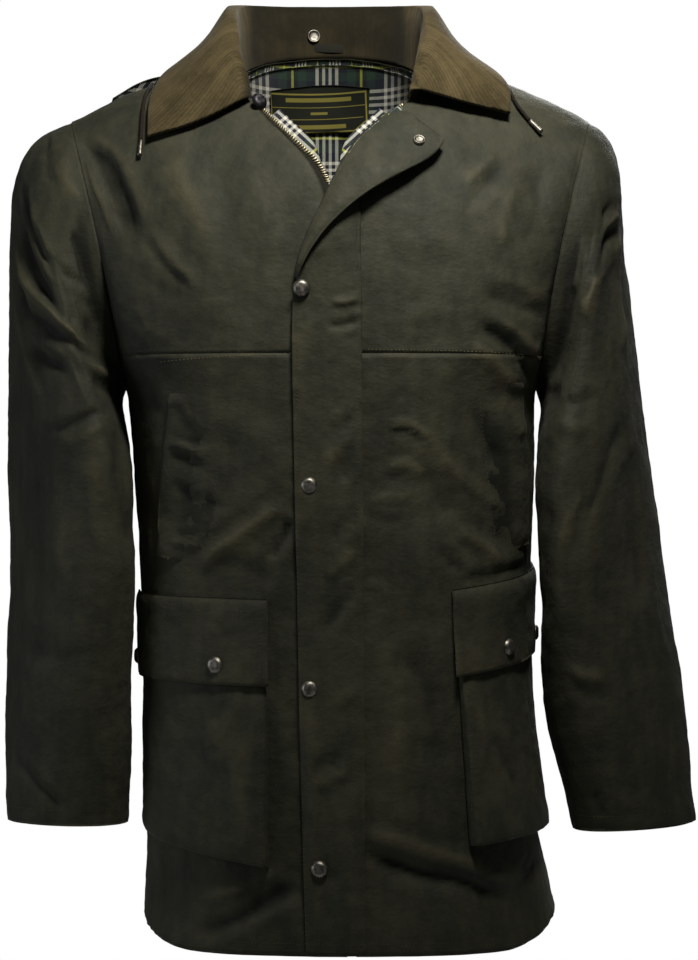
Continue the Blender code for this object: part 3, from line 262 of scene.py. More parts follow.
pile = Finish("corduroy", Specular_IOR_Level=0.12, Sheen_Weight=0.05, Sheen_Roughness=0.5)
where = pile.place()
weave = pile.kept("weave", "Vector")
wander = pile.grain(where, 30.0, 2.0) * (1.0 * MM)
rib = ((weave.part("X") + wander) * (math.tau / WALE)).turned("SINE") * 0.5 + 0.5
worn = pile.grain(where, 22.0, 5.0, 0.65)
tuft = pile.grain(where, 420.0, 2.0, 0.6)
streak = pile.grain(weave, 60.0, 4.0, 0.6, stretch=(2.0, 0.25, 1.0))
patches = pile.between(worn * 0.45 + tuft * 0.15 + streak * 0.4, 0.34, 0.66)
tone = pile.blend(dye("37301e"), dye("5c5138"), patches)
tone = pile.blend(tone, dye("1c160b"), (1.0 - rib) * 0.24)
# Painted shade on the collar's inner face at the back of the neck.
dark = pile.kept("nap") * (pile.between(worn, 0.75, 0.35) * 0.2 + 0.77)
tone = pile.blend(tone, dye("1d1b13"), dark)
# Paler on ridges and rubbed edges: partly wear, partly painted highlight.
tone = pile.blend(tone, dye("857859"), pile.between(pile.kept("rub"), 0.2, 1.0) * 0.4)
bump = pile.relief(rib * 0.5 + tuft * 0.4 + worn, 0.35, 1.2 * MM)
corduroy = pile.give(Base_Color=tone, Roughness=worn * 0.12 + 0.8, Normal=bump)
print("made", corduroy.name)

# %% [markdown]
# ## Tartan lining
# The lining is a traditional check in navy, green, white and yellow. A tartan is one list of
# stripes, used twice: along the warp and across the weft, and a square shows the mixture of the
# two threads. So one ramp gives the stripes, it is read once for each direction, and a twill
# blends the two.

# %% Tartan
SETT = 65.0 * MM
TWILL = 1.1 * MM
DYES = ("181c2c", "22382c", "131519", "cfcfc5", "b4ba48")
NAVY, GREEN, BLACK, WHITE, YELLOW = map(dye, DYES)
# Each stripe: the share of the sett where it starts, and its thread.
STRIPES = (
    *((0.0, NAVY), (0.025, WHITE), (0.07, NAVY), (0.12, WHITE), (0.165, NAVY)),
    *((0.30, GREEN), (0.42, BLACK), (0.484, YELLOW), (0.516, BLACK), (0.58, GREEN)),
    *((0.70, NAVY), (0.835, WHITE), (0.88, NAVY), (0.93, WHITE), (0.975, NAVY)),
)

check = Finish("tartan", Specular_IOR_Level=0.2, Sheen_Weight=0.2)
weave = check.kept("weave", "Vector")
across, along = weave.part("X"), weave.part("Y")
threads = []
for way in (across, along):
    share = ((way + 100 * SETT) / SETT).turned("FRACT")
    stripes = {"steps": "CONSTANT", "stops": STRIPES}
    threads.append(check.add("ShaderNodeValToRGB", stripes, {0: share}))
twill = ((across + along) * (math.tau / TWILL)).turned("SINE")
cloth = check.blend(*threads, twill * 0.25 + 0.5)
fluff = check.grain(check.place(), 300.0, 3.0)
cloth = check.blend(cloth, dye("0c0d10"), check.between(fluff, 0.5, 0.9) * 0.35)
bump = check.relief(twill * 0.4 + fluff, 0.4, 0.8 * MM)
lining = check.give(Base_Color=cloth, Roughness=fluff * 0.2 + 0.75, Normal=bump)
print("made", lining.name, "with", len(STRIPES), "stripes")

# %% [markdown]
# ## Small finishes
# Snaps on such a coat are pewter-toned: scratched, a little oily, darker in the recess round the
# cap. The zip's teeth are pale moulded metal, its tape and the drawcords are nearly black, and
# the thread is one shade lighter than the cloth. Each could be one flat colour, but at arm's
# length metal shows its scratches and a tape its ribs. All are cousins, so one function makes the
# metals, and one the rest.

# %% Metal, thread, tape and cord
def metal(name, light, dark, rough=0.34):
    """Scratched metal between two tones."""
    made = Finish(name, Metallic=1.0)
    where = made.place()
    smear = made.grain(where, 260.0, 4.0, 0.6)
    scratch = made.grain(where, 900.0, 2.0, 0.5, stretch=(1.0, 1.0, 0.15))
    patches = made.between(smear * 0.7 + scratch * 0.3, 0.36, 0.62)
    tone = made.blend(dye(dark), dye(light), patches)
    bump = made.relief(scratch, 0.1, 0.3 * MM)
    return made.give(Base_Color=tone, Roughness=rough + smear * 0.2, Normal=bump)


def woven(name, light, dark, pitch):
    """Narrow woven goods between two tones, ribbed at a pitch."""
    made = Finish(name, Specular_IOR_Level=0.25)
    where = made.place()
    rib = ((where.part("Z") + where.part("X")) * (math.tau / pitch)).turned("SINE") * 0.5 + 0.5
    tone = made.blend(dye(dark), dye(light), rib * 0.6 + made.grain(where, 500.0) * 0.4)
    rough = made.grain(where, 300.0) * 0.1 + 0.8
    return made.give(Base_Color=tone, Roughness=rough, Normal=made.relief(rib, 0.5, 0.4 * MM))


pewter = metal("snap_metal", "a09c95", "68645d")
dark_cap = metal("dark_metal", "46454a", "232226", 0.4)
tooth_metal = metal("zip_teeth", "c9c0a4", "8a8268", 0.38)
pale_thread = woven("pale_thread", "8e8868", "5f5b44", 1.2 * MM)
thread = woven("thread", "58543f", "3a3829", 1.2 * MM)
tape_cloth = woven("zip_tape", "24241c", "131310", 1.5 * MM)
braid = woven("cord", "2a2219", "100d0a", 1.8 * MM)
piping = woven("piping", "2c352a", "161c15", 1.4 * MM)
print("metals: 3, woven goods: 5")

# %% [markdown]
# ## The neck label
# A woven label carries a gold frame, two rules and plain bars where a maker's words would be. The
# frame follows the label's cut lower corners. It is drawn from each place's distance inside the
# label's edge, which works at any size.

# %% Label
LABEL_MIDDLE = (-10.9 * MM, -8.5 * MM)
LABEL_TILT = 0.045
LABEL_HALF = (48.5, 21.0)
LABEL_CUT = (34.0, 10.8)
CUT_RUN, CUT_RISE, CUT_SCALE = 14.5, 10.4, 8.4
FRAME_IN, FRAME_HALF = 3.6, 0.75
RULES = ((5.4, 44.0), (-5.4, 42.0))
RULE_HALF = 0.3
BARS = ((12.2, 31.0, 1.9), (0.0, 8.0, 1.2), (-12.4, 25.0, 1.9))
WEFT_PITCH = 0.5

badge = Finish("label", Specular_IOR_Level=0.25)
badge_at = badge.place()
east = (badge_at.part("X") - LABEL_MIDDLE[0]) / MM
north = (badge_at.part("Z") - LABEL_MIDDLE[1]) / MM
level = north - east * LABEL_TILT
side_way = (east + north * LABEL_TILT).turned("ABSOLUTE")
edge_in = badge.larger(side_way - LABEL_HALF[0], level.turned("ABSOLUTE") - LABEL_HALF[1])
corner = (side_way - LABEL_CUT[0]) / CUT_RUN - (level + LABEL_CUT[1]) / CUT_RISE
corner = (corner - 1.0) * CUT_SCALE
edge_in = badge.larger(edge_in, corner)
gold = badge.band(edge_in + FRAME_IN, FRAME_HALF)
for up, half in RULES:
    gold = badge.larger(gold, badge.band(level - up, RULE_HALF) * badge.band(side_way, half))
for up, half, thick in BARS:
    bar = badge.band(level - up, thick) * badge.band(side_way, half) * 0.85
    gold = badge.larger(gold, bar)
weft = (north * math.tau / WEFT_PITCH).turned("SINE") * 0.5 + 0.5
ground = badge.blend(dye("20241b"), dye("14160f"), weft)
label_cloth = badge.give(
    Base_Color=badge.blend(ground, dye("827a3a"), gold),
    Roughness=weft * 0.1 + 0.7,
    Normal=badge.relief(gold + weft * 0.3, 0.4, 0.3 * MM),
)
print("label bars:", len(BARS))

# %% [markdown]
# ## The drawcords
# The hood's cord comes out from under the collar at both sides and hangs a hand's breadth, with a
# metal tip crimped on its end. A cord has a fixed length and its own weight, so each is one
# smooth curve through the points of its route, drawn before the cloth because everything else
# lies round it.

# %% Drawcords
CORD_THICK = 3.2 * MM
CORD_POINTS = 17
CORDS = {
    "right": (
        *((-163, -1, 7), (-167.5, -19.5, -4), (-169, -38.5, -20.5)),
        *((-169, -53.5, -37.5), (-169, -63.5, -51.5)),
    ),
    "left": (
        *((150, 3.2, 11.8), (157.4, 0.9, 9.1), (163.3, -12.1, 1.2)),
        *((170.9, -32.5, -17.1), (180.4, -43.4, -31.4)),
    ),
}


def along_route(route, share):
    """Point at a share of the way along a smooth curve through the route's points."""
    points = np.array(route, float)
    keys = np.concatenate([[0.0], np.cumsum(np.linalg.norm(np.diff(points, axis=0), axis=1))])
    at = share * keys[-1]
    i = min(max(int(np.searchsorted(keys, at, side="right")) - 1, 0), len(keys) - 2)
    span = keys[i + 1] - keys[i]
    t = (at - keys[i]) / span
    slopes = []
    for k in (i, i + 1):
        before, after = max(k - 1, 0), min(k + 1, len(keys) - 1)
        slopes.append((points[after] - points[before]) / (keys[after] - keys[before]) * span)
    start_share = 2 * t**3 - 3 * t**2 + 1
    straight = start_share * points[i] + (1 - start_share) * points[i + 1]
    return straight + (t**3 - 2 * t**2 + t) * slopes[0] + (t**3 - t**2) * slopes[1]


cords = {}
for side, route in CORDS.items():
    curve = bpy.data.curves.new(f"drawcord_{side}_braid", "CURVE")
    curve.dimensions = "3D"
    curve.bevel_depth = CORD_THICK / 2
    curve.bevel_resolution = 4
    curve.use_fill_caps = True
    spline = curve.splines.new("POLY")
    spline.points.add(CORD_POINTS - 1)
    places = [along_route(route, share) * MM for share in np.linspace(0, 1, CORD_POINTS)]
    for point, place in zip(spline.points, places):
        point.co = (*place, 1.0)
    curve.materials.append(braid)
    cords[side] = added(curve.name, curve)
    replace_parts(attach(cords[side], "jacket"), f"drawcord_{side}")
    steps = [np.linalg.norm(b - a) for a, b in zip(places, places[1:])]
    cords[side]["cord_length"] = float(sum(steps))
    print("drawcord", side, round(cords[side]["cord_length"] * 1000), "mm")

# %% [markdown]
# ## From a solid to fine cloth
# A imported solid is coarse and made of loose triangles. A copy is merged, its triangles are joined
# back into the quads that they came from, and Catmull-Clark smoothing rounds it, with the cut
# edges held by full creases so that the panels keep their outline. Cells that are still long are
# split in two, which gives the creases something to bend.

# %% Fine copies
SHARP = math.radians(48)
PLANAR = math.radians(50)
SQUARE = math.radians(80)
ROUNDS = 2


def joined_copy(node):
    """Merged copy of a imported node, in quads, its sharp edges held."""
    shape = bmesh.new()
    shape.from_mesh(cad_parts[node].data)
    bmesh.ops.remove_doubles(shape, verts=shape.verts, dist=0.05 * MM)
    bmesh.ops.join_triangles(
        shape,
        faces=shape.faces,
        angle_face_threshold=PLANAR,
        angle_shape_threshold=SQUARE,
    )
    held = shape.edges.layers.float.new("crease_edge")
    for edge in shape.edges:
        if edge.calc_face_angle(0.0) > SHARP:
            edge[held] = 1.0
    return shape


def fine_copy(node, cell):
    """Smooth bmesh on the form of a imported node, in cells no longer than cell."""
    shape = joined_copy(node)
    mesh = bpy.data.meshes.new(node)
    shape.to_mesh(mesh)
    shape.free()
    holder = added(f"{node}_rough", mesh)
    rounding = holder.modifiers.new("rounding", "SUBSURF")
    rounding.levels = rounding.render_levels = ROUNDS
    smooth = holder.evaluated_get(bpy.context.evaluated_depsgraph_get()).to_mesh()
    fine = bmesh.new()
    fine.from_mesh(smooth)
    bpy.data.objects.remove(holder)
    long = [edge for edge in fine.edges if edge.calc_length() > cell]
    bmesh.ops.subdivide_edges(fine, edges=long, cuts=1, use_grid_fill=True)
    return fine


def finished(name, shape, finishes, node=None):
    """A piece of the coat from a bmesh, riding on it."""
    mesh = bpy.data.meshes.new(name)
    shape.to_mesh(mesh)
    shape.free()
    mesh.shade_smooth()
    for finish in finishes:
        mesh.materials.append(finish)
    piece = added(name, mesh)
    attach(piece, "jacket")
    if node:
        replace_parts(piece, node)
    return piece


print("copies keep edges sharper than", round(math.degrees(SHARP)), "degrees")

# %% [markdown]
# ## Where out is
# A crease pushes cloth out or in, and the layers of a coat lie on each other: a pocket on a
# front, a flap on a pocket. If every layer over the trunk moves in the same direction by the same
# amount, none can cut through the next. So there is one chart for the trunk and one for each
# sleeve, which give for any place its way out and its flat position on the cloth.

# %% Charts of the trunk and sleeves
TRUNK = Vector((5.0, -6.0, 0.0)) * MM
TRUNK_HALF = (190.0 * MM, 128.0 * MM)
TRUNK_ROUND = 165.0 * MM
SHOULDERS = (-130.0 * MM, 0.0)
RING_STEP = 30.0 * MM
CAP = 80.0 * MM


def ways_out(side, depth, halves, up):
    """Ways out from an oval tube, tipped upwards as up goes from 0 to 1."""
    out = np.stack([side / halves[0] ** 2, depth / halves[1] ** 2, np.zeros(len(side))], axis=1)
    out /= np.linalg.norm(out, axis=1)[:, None] + 1e-9
    out[:, 2] = np.clip(up, 0, 1)
    return out / np.linalg.norm(out, axis=1)[:, None]


def trunk_chart(points):
    """Ways out and flat positions, round and up, of places on the trunk."""
    side, depth = points[:, 0] - TRUNK.x, points[:, 1] - TRUNK.y
    up = (points[:, 2] - SHOULDERS[0]) / (SHOULDERS[1] - SHOULDERS[0])
    out = ways_out(side, depth, TRUNK_HALF, up)
    turn = np.arctan2(side, -depth)
    turn = np.where(turn < -math.pi / 2, turn + math.tau, turn)
    return out, np.stack([turn * TRUNK_ROUND, points[:, 2]], axis=1)


def sleeve_chart(node):
    """The same for a sleeve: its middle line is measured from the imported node."""
    form = np.array([v.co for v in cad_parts[node].data.vertices])
    top = form[:, 2].max()
    levels = np.arange(form[:, 2].min() + 10 * MM, top - CAP, RING_STEP)
    rows = []
    for level in levels:
        ring = form[np.abs(form[:, 2] - level) < RING_STEP]
        middle = (ring.min(axis=0) + ring.max(axis=0))[:2] / 2
        rows.append([*middle, *np.ptp(ring, axis=0)[:2] / 2])
    rows = np.array(rows)

    def chart(points):
        height = points[:, 2]
        x, y, *halves = (np.interp(height, levels, rows[:, k]) for k in range(4))
        side, depth = points[:, 0] - x, points[:, 1] - y
        out = ways_out(side, depth, halves, (height - levels[-1]) / (top - levels[-1]))
        turn = np.arctan2(side, -depth)
        return out, np.stack([turn * np.mean(halves, axis=0), height], axis=1)

    return chart


SLEEVES = ("sleeve_right", "sleeve_left")
charts = {"trunk": trunk_chart, **{node: sleeve_chart(node) for node in SLEEVES}}
print("charts:", ", ".join(charts))

# %% [markdown]
# ## The creases
# Folds aren't random. They run from where cloth is held to where it is pulled: round the armpit,
# from the shoulder down the sleeve, from a pocket's corner to the hem. Each is one line seen from
# the front or the back, in millimetres, with its half width and its depth: below zero is a
# trough, above zero a ridge. Every line is deepest in its middle and runs out at its ends, with a
# soft lip along one side.

# %% Crease lines
Crease = namedtuple("Crease", "width depth route")


def creases(*rows):
    """Crease lines from rows: half width, depth, then the across and up of each point."""
    return [Crease(width, depth, list(zip(at[::2], at[1::2]))) for width, depth, *at in rows]


TRUNK_FRONT = creases(
    (8, -5.0, -22, -708, -64, -730, -122, -759),
    (7, 2.4, -34, -695, -77, -711, -113, -727),
    (7, -2.6, -29, -540, -25, -627, -24, -696),
    (3.6, 2.6, -146, -324, -127, -328, -106, -334),
    (5, -2.6, -145, -332, -124, -341, -102, -348),
    (4, 2.2, -144, -411, -126, -412, -112, -417),
    (7, 4.2, -120, -439, -78, -405, -32, -371),
    (5, -5.0, -34, -390, -41, -409, -53, -430),
    (5, -1.8, -138, -287, -131, -304, -120, -318),
    (7, -2.2, -145, -357, -122, -375, -85, -381),
    (9, -1.8, -104, -427, -73, -436, -50, -453),
    (14, 1.8, -113, -280, -78, -313, -41, -333),
    (14, -2.0, -91, -305, -85, -348, -94, -392),
    (16, -1.6, -151, -553, -113, -603, -77, -636),
    (12, 1.4, -64, -566, -82, -618, -68, -670),
    (5, 3.6, -239, -49, -219, -74, -201, -110, -184, -153),
    (8, -6.0, -235, -47, -201, -73, -180, -115, -169, -149),
    (5.5, -2.4, -170, -136, -149, -164, -122, -194),
    (7, 1.8, -156, -139, -133, -168, -107, -193),
    (12, -1.8, -185, -164, -158, -185, -113, -204),
    (14, 1.8, -146, -63, -122, -115, -100, -160),
    (14, -1.5, -110, -64, -85, -112, -78, -173),
    (12, 1.2, -78, -75, -59, -120, -42, -168),
    (9, 1.8, -177, -198, -158, -225, -135, -238),
    (7, -2.6, -172, -262, -159, -279, -152, -304),
    (4, 2.7, 27, -197, 14, -201, 1, -200),
    (4, -2.4, 27, -216, 13, -221, -3, -223),
    (4, 2.4, 25, -294, 11, -301, -4, -305),
    (6, 2.7, 24, -313, 10, -327, -6, -348),
    (4, -3.1, 25, -341, 13, -352, 1, -359),
    (5, -3.1, 29, -383, 17, -394, 1, -409),
    (6, 3.1, 27, -414, 13, -427, -6, -444),
    (6, -3.1, 25, -453, 10, -467, -10, -496),
    (5, 2.4, 24, -540, 10, -550, -6, -559),
    (5, -4.1, 18, -594, 3, -602, -18, -611),
    (5, 2.7, 20, -606, 4, -615, -15, -622),
    (10, -2.0, 1, -687, -6, -722, 5, -748),
    (3.6, 2.4, 47, -307, 68, -308, 89, -320),
    (4, -1.8, 50, -313, 68, -315, 86, -327),
    (3.6, 2.4, 47, -345, 68, -341, 86, -354),
    (4, -1.8, 45, -357, 64, -355, 80, -366),
    (3.5, 1.9, 32, -374, 53, -372, 72, -373),
    (3.5, -1.8, 32, -389, 53, -392, 69, -394),
    (4, 2.0, 32, -446, 48, -452, 52, -463),
    (7, 2.8, 91, -325, 116, -355, 160, -391),
    (9, -2.8, 79, -348, 97, -374, 108, -392),
    (7, 4.2, 108, -400, 133, -413, 159, -431),
    (5, -3.2, 97, -416, 111, -432, 124, -441),
    (9, -3.0, 123, -289, 136, -313, 151, -348),
    (10, 3.0, 151, -282, 162, -304, 174, -321),
    (7, -5.8, 128, -219, 161, -238, 187, -271),
    (8, 3.5, 123, -233, 146, -257, 171, -284),
    (9, -3.5, 131, -191, 164, -202, 194, -213),
    (7, 2.5, 155, -61, 134, -78, 114, -97),
    (7, -2.5, 157, -74, 135, -101, 117, -125),
    (8, 2.0, 170, -81, 155, -124, 150, -159),
    (9, -2.0, 193, -61, 187, -108, 172, -159),
    (12, -1.5, 45, -156, 80, -173, 124, -166),
    (10, 1.5, 62, -217, 88, -210, 116, -221),
    (9, -5.5, 18, -675, 71, -699, 123, -712, 172, -736),
    (8, 2.5, 27, -660, 79, -679, 141, -697),
    (18, -2.2, 62, -497, 88, -549, 97, -619),
    (14, 2.0, 49, -479, 62, -549, 58, -627),
    (6, -3.0, 144, -578, 156, -606, 166, -634),
    (6, 2.0, 130, -549, 136, -590, 132, -636),
    (5, -3.0, 106, -449, 142, -440, 183, -433),
    (8, -2.0, 193, -688, 178, -713, 159, -732),
)
TRUNK_BACK = creases(
    (16, -3.5, -150, -150, -120, -240, -60, -330),
    (18, -3.5, 160, -140, 130, -230, 75, -320),
    (14, -2.6, -120, -360, -20, -395, 110, -375),
    (12, 2.0, -95, -430, 20, -455, 130, -430),
    (16, -2.6, -60, -500, -75, -620, -50, -750),
    (18, -3.0, 70, -480, 95, -600, 80, -750),
    (16, 2.2, 10, -540, 0, -650, 15, -755),
    (9, -2.2, -150, -640, -120, -690, -60, -735),
    (9, -1.8, 150, -560, 120, -600, 60, -620),
)
SLEEVE_RIGHT_FRONT = creases(
    (4, -6.0, -284, -81, -273, -122, -256, -157, -240, -171, -219, -182),
    (5, 3.2, -258, -163, -242, -182, -222, -189, -206, -193),
    (7, -5.8, -289, -107, -274, -155, -249, -194, -221, -218, -199, -243),
    (4.5, 5.1, -294, -121, -276, -176, -251, -205, -226, -230, -194, -261),
    (7, -5.3, -294, -158, -274, -206, -242, -229, -212, -245, -193, -256),
    (4, 3.4, -297, -148, -287, -206, -272, -252, -260, -293),
    (6.5, -5.8, -281, -233, -239, -256, -209, -271, -186, -281),
    (4.5, 3.2, -254, -238, -221, -251, -194, -265),
    (4.5, -3.9, -230, -130, -219, -162, -216, -182),
    (3.2, -3.4, -258, -38, -254, -80, -241, -93),
    (6, 2.3, -245, -60, -239, -87, -222, -111),
    (14, -8.6, -220, -103, -210, -150, -203, -194, -194, -240),
    (4.5, -4.1, -252, -315, -223, -304, -193, -292),
    (6, 2.3, -245, -325, -218, -316, -194, -307),
    (10, -3.9, -190, -286, -186, -357, -177, -428),
    (10, 2.3, -215, -304, -208, -375, -206, -428),
    (12, -2.1, -270, -330, -260, -393, -266, -465),
    (12, 2.1, -237, -348, -240, -410, -228, -481),
    (14, -2.5, -279, -501, -239, -517, -203, -508),
    (5, -2.5, -289, -604, -261, -631, -234, -655),
    (9, -2.1, -204, -553, -212, -607, -199, -644),
)
SLEEVE_LEFT_FRONT = creases(
    (4.5, -5.0, 258, -101, 243, -126, 227, -161, 208, -188),
    (5.5, -4.6, 264, -117, 246, -151, 227, -183, 208, -200),
    (4, 2.8, 261, -108, 245, -140, 226, -174),
    (12, -6.5, 227, -127, 215, -161, 208, -196, 202, -236, 195, -272),
    (4.5, 2.6, 261, -125, 264, -194, 267, -252),
    (9, 2.6, 243, -162, 230, -208, 221, -272),
    (8, -2.0, 254, -195, 247, -241, 252, -295),
    (8, -3.6, 192, -275, 215, -288, 244, -282),
    (6, 2.0, 196, -304, 217, -313, 240, -307),
    (8, -3.6, 267, -303, 245, -345, 224, -399),
    (7, 2.4, 226, -364, 213, -394, 206, -421),
    (9, -3.4, 197, -370, 190, -428, 191, -496),
    (5.5, 2.4, 214, -517, 226, -531, 251, -533),
    (7, -2.2, 212, -537, 232, -549, 257, -548),
    (6, 2.4, 287, -313, 293, -386, 301, -478, 315, -542),
    (9, -2.2, 270, -330, 276, -402, 283, -483),
    (6, -1.8, 229, -451, 240, -463, 248, -483),
    (5, -2.2, 236, -634, 246, -663),
    (10, -1.6, 278, -572, 268, -616, 278, -652),
)
SLEEVE_BACK = creases(
    (8, -4.0, 280, -130, 250, -190, 215, -225),
    (6, 2.6, 285, -175, 255, -225, 210, -265),
    (9, -3.2, 290, -330, 260, -350, 215, -340),
    (7, 2.2, 285, -375, 255, -392, 215, -385),
    (8, -2.8, 290, -415, 260, -430, 220, -425),
    (12, -2.0, 255, -470, 265, -540, 275, -610),
)
LIP = 0.4
LIP_AT, LIP_END = 1.9, 2.6
RUN_OUT = 0.24
CRISP = 0.5
KNIFE = 0.7
WOBBLE = 2.6


def ramp(value, low, high):
    """0 at low, 1 at high and smooth between, whichever of the two is larger."""
    share = np.clip((value - low) / (high - low), 0, 1)
    return share * share * (3 - 2 * share)


def pushed(lines, places):
    """Millimetres that the lines push each place out, places being pairs in millimetres."""
    total = np.zeros(len(places))
    for line in lines:
        route = np.array(line.route, float)
        steps = np.linalg.norm(np.diff(route, axis=0), axis=1)
        gap, side, share = np.full(len(places), 1e9), np.zeros(len(places)), np.zeros(len(places))
        gone = 0.0
        for start, end, step in zip(route, route[1:], steps):
            ahead = (end - start) / step
            offset = places - start
            t = np.clip(offset @ ahead, 0, step)
            off = offset - t[:, None] * ahead
            far = np.linalg.norm(off, axis=1)
            nearer = far < gap
            gap = np.where(nearer, far, gap)
            side = np.where(nearer, off @ np.array((-ahead[1], ahead[0])), side)
            share = np.where(nearer, (gone + t) / steps.sum(), share)
            gone += step
        fade = ramp(np.minimum(share, 1 - share), 0.0, RUN_OUT)
        crisp = np.exp(-gap / (KNIFE * line.width))
        bottom = np.exp(-((gap / line.width) ** 2)) * (1 - CRISP) + crisp * CRISP
        lip = np.exp(-((side / line.width - LIP_AT) ** 2))
        lip *= np.exp(-((gap / (LIP_END * line.width)) ** 4))
        total += line.depth * fade * (bottom - LIP * lip)
    return total


def drift(points, scale, seed, stretch=1.0):
    """Smooth random value from -1 to 1 at each place, over a scale in millimetres."""
    ways = points / (np.array((scale, scale, scale * stretch)) * MM) + seed
    return np.array([noise.noise(way) for way in ways])


SLEEVE_FRONT = {"sleeve_right": SLEEVE_RIGHT_FRONT, "sleeve_left": SLEEVE_LEFT_FRONT}
tables = (TRUNK_FRONT, TRUNK_BACK, *SLEEVE_FRONT.values(), SLEEVE_BACK, SLEEVE_BACK)
print("crease lines:", sum(map(len, tables)))

# %% [markdown]
# ## How the cloth moves
# Three things add up at each place: the lines above, the slow swell of cloth that hangs free, and
# the puckers beside a seam, where the thread draws the cloth up in short ripples square to it.
# The ripples fade over a finger's width. The sum is written to the piece, so that the finish paints
# its ridges paler, as wear and painted highlight, and its troughs darker, as painted shade.

# %% Displacement
# Each wave of free cloth: its height, scale, stretch upwards and seed.
WAVES = ((2.0, 52.0, 2.0, 0.0), (1.1, 24.0, 1.3, 9.0), (0.6, 10.0, 1.0, 4.0))
PUCKER = 1.0
PUCKER_REACH = 10.0
HEM = (-655.0, 14.0, 0.8)
# Each seam: its way, where it lies, and where it starts and ends.
SEAMS = (
    ("level", -246.0, -170.0, -32.0),
    ("level", -246.0, 32.0, 185.0),
    ("level", -757.0, -190.0, 205.0),
    ("upright", 27.0, -771.0, -205.0),
    ("upright", -31.0, -771.0, -200.0),
)


def puckers(points):
    """Short ripples square to the trunk's front seams, in millimetres."""
    total = np.zeros(len(points))
    for way, at, low, high in SEAMS:
        across, onward = (2, 0) if way == "level" else (0, 2)
        squeeze = np.ones(3)
        squeeze[across] = 0.3
        off, run = points[:, across] / MM - at, points[:, onward] / MM
        near = (np.abs(off) < PUCKER_REACH * 2.5) & (run > low) & (run < high)
        if near.any():
            ripple = drift(points[near] * squeeze, 8.0, at)
            total[near] += PUCKER * ripple * np.exp(-((off[near] / PUCKER_REACH) ** 2))
    return total


def rippled(points, seed):
    """Swell, ripple and crumple of cloth that hangs free, in millimetres."""
    return sum(high * drift(points, size, seed + own, long) for high, size, long, own in WAVES)


def folded(over, points, front, back, scale, seeds):
    """Millimetres that two sets of lines push places out, and where these face the front."""
    warp = np.stack([drift(points, scale, seed) for seed in seeds], axis=1) * WOBBLE
    seen = points[:, [0, 2]] / MM + warp
    depth = charts[over](points)[0][:, 1]
    ahead, behind = np.clip(-depth * 3, 0, 1), np.clip(depth * 3, 0, 1)
    return pushed(front, seen) * ahead + pushed(back, seen) * behind, ahead


def trunk_push(points):
    """Millimetres out for places on the trunk."""
    total, ahead = folded("trunk", points, TRUNK_FRONT, TRUNK_BACK, 36.0, (3.0, 7.0))
    return total + puckers(points) * ahead + rippled(points, 11.0)


def sleeve_push(node):
    """The same for a sleeve, whose back is creased as the other's, mirrored."""
    sign = -1 if node == "sleeve_right" else 1
    rear = [line._replace(route=[(sign * x, z) for x, z in line.route]) for line in SLEEVE_BACK]

    def push(points):
        total, _ = folded(node, points, SLEEVE_FRONT[node], rear, 34.0, (2.0, 6.0))
        at, reach, height = HEM
        hem = np.exp(-(((points[:, 2] / MM - at) / reach) ** 2))
        total += height * drift(points * np.array((1.0, 1.0, 0.3)), 9.0, 4.0) * hem
        return total + rippled(points, 8.0 * sign)

    return push


pushes = {"trunk": trunk_push, **{node: sleeve_push(node) for node in SLEEVES}}
print("pushes:", ", ".join(pushes))

# %% [markdown]
# ## Dressing one piece
# This is the workshop's main tool. It takes a node, makes the fine copy, moves it by its push,
# rolls the cut edges slightly inwards as a turned and pressed edge does, and stores the cloth's own
# coordinates and its fold value, which the finish paints as wear and painted highlight on ridges
# and as painted shade in troughs. At a seam the cut edges are drawn together, and close to the
# armhole the push fades, so that body and sleeve stay joined. The faces that look into the coat get
# the lining.

# %% Cloth from a node
ARMHOLE_REACH = 11.0 * MM
ARMHOLE_FOOT = -0.30
SAMPLES, SAMPLE_STEP = 60000, 0.06
SEAM_REACH = 2.6 * MM
SEAM_NEAR, SEAM_FADE = 2.0 * MM, 1.2 * MM
DRAWN = 0.44
EDGE_ROLL = 0.7
EDGE_REACH = 3.0 * MM
EDGE_RUB, EDGE_RUB_REACH = 0.3, 2.0 * MM
WEAR_AND_SHADE_AT = 3.2
WEAR_AND_SHADE_LEAST, WEAR_AND_SHADE_MOST = -2.2, 1.2
LOOKS_IN = -0.6
SIDES = ("right", "left")
CUTS = ("yoke", "front", "sleeve")
SEWN = {"back": [f"{cut}_{side}" for cut in CUTS for side in SIDES]}
for side in SIDES:
    for cut in CUTS:
        others = [f"{other}_{side}" for other in CUTS if other != cut]
        SEWN[f"{cut}_{side}"] = [*others, "back"]


def edge_tree(shape):
    """Search tree of a piece's cut edges."""
    held = [v for v in shape.verts if any(e.calc_face_angle(0.0) > SHARP for e in v.link_edges)]
    tree = KDTree(len(held))
    for i, vert in enumerate(held):
        tree.insert(vert.co, i)
    tree.balance()
    return tree


def away(tree, points):
    """Distance of each point from the nearest in a search tree."""
    return np.array([tree.find(point)[2] for point in points])


def surface_of(*meshes):
    """Search tree of the surfaces of some meshes."""
    shape = bmesh.new()
    for mesh in meshes:
        shape.from_mesh(mesh)
    tree = BVHTree.FromBMesh(shape)
    shape.free()
    return tree


surfaces = {node: surface_of(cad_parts[node].data) for node in SEWN}
armhole_edge = KDTree(SAMPLES)
for node in SLEEVES:
    rough = joined_copy(node)
    for edge in rough.edges:
        first, last = (vert.co for vert in edge.verts)
        if edge.calc_face_angle(0.0) > SHARP and first.z > ARMHOLE_FOOT:
            for share in np.arange(0.0, 1.0, SAMPLE_STEP):
                armhole_edge.insert(first.lerp(last, share), 0)
    rough.free()
armhole_edge.balance()


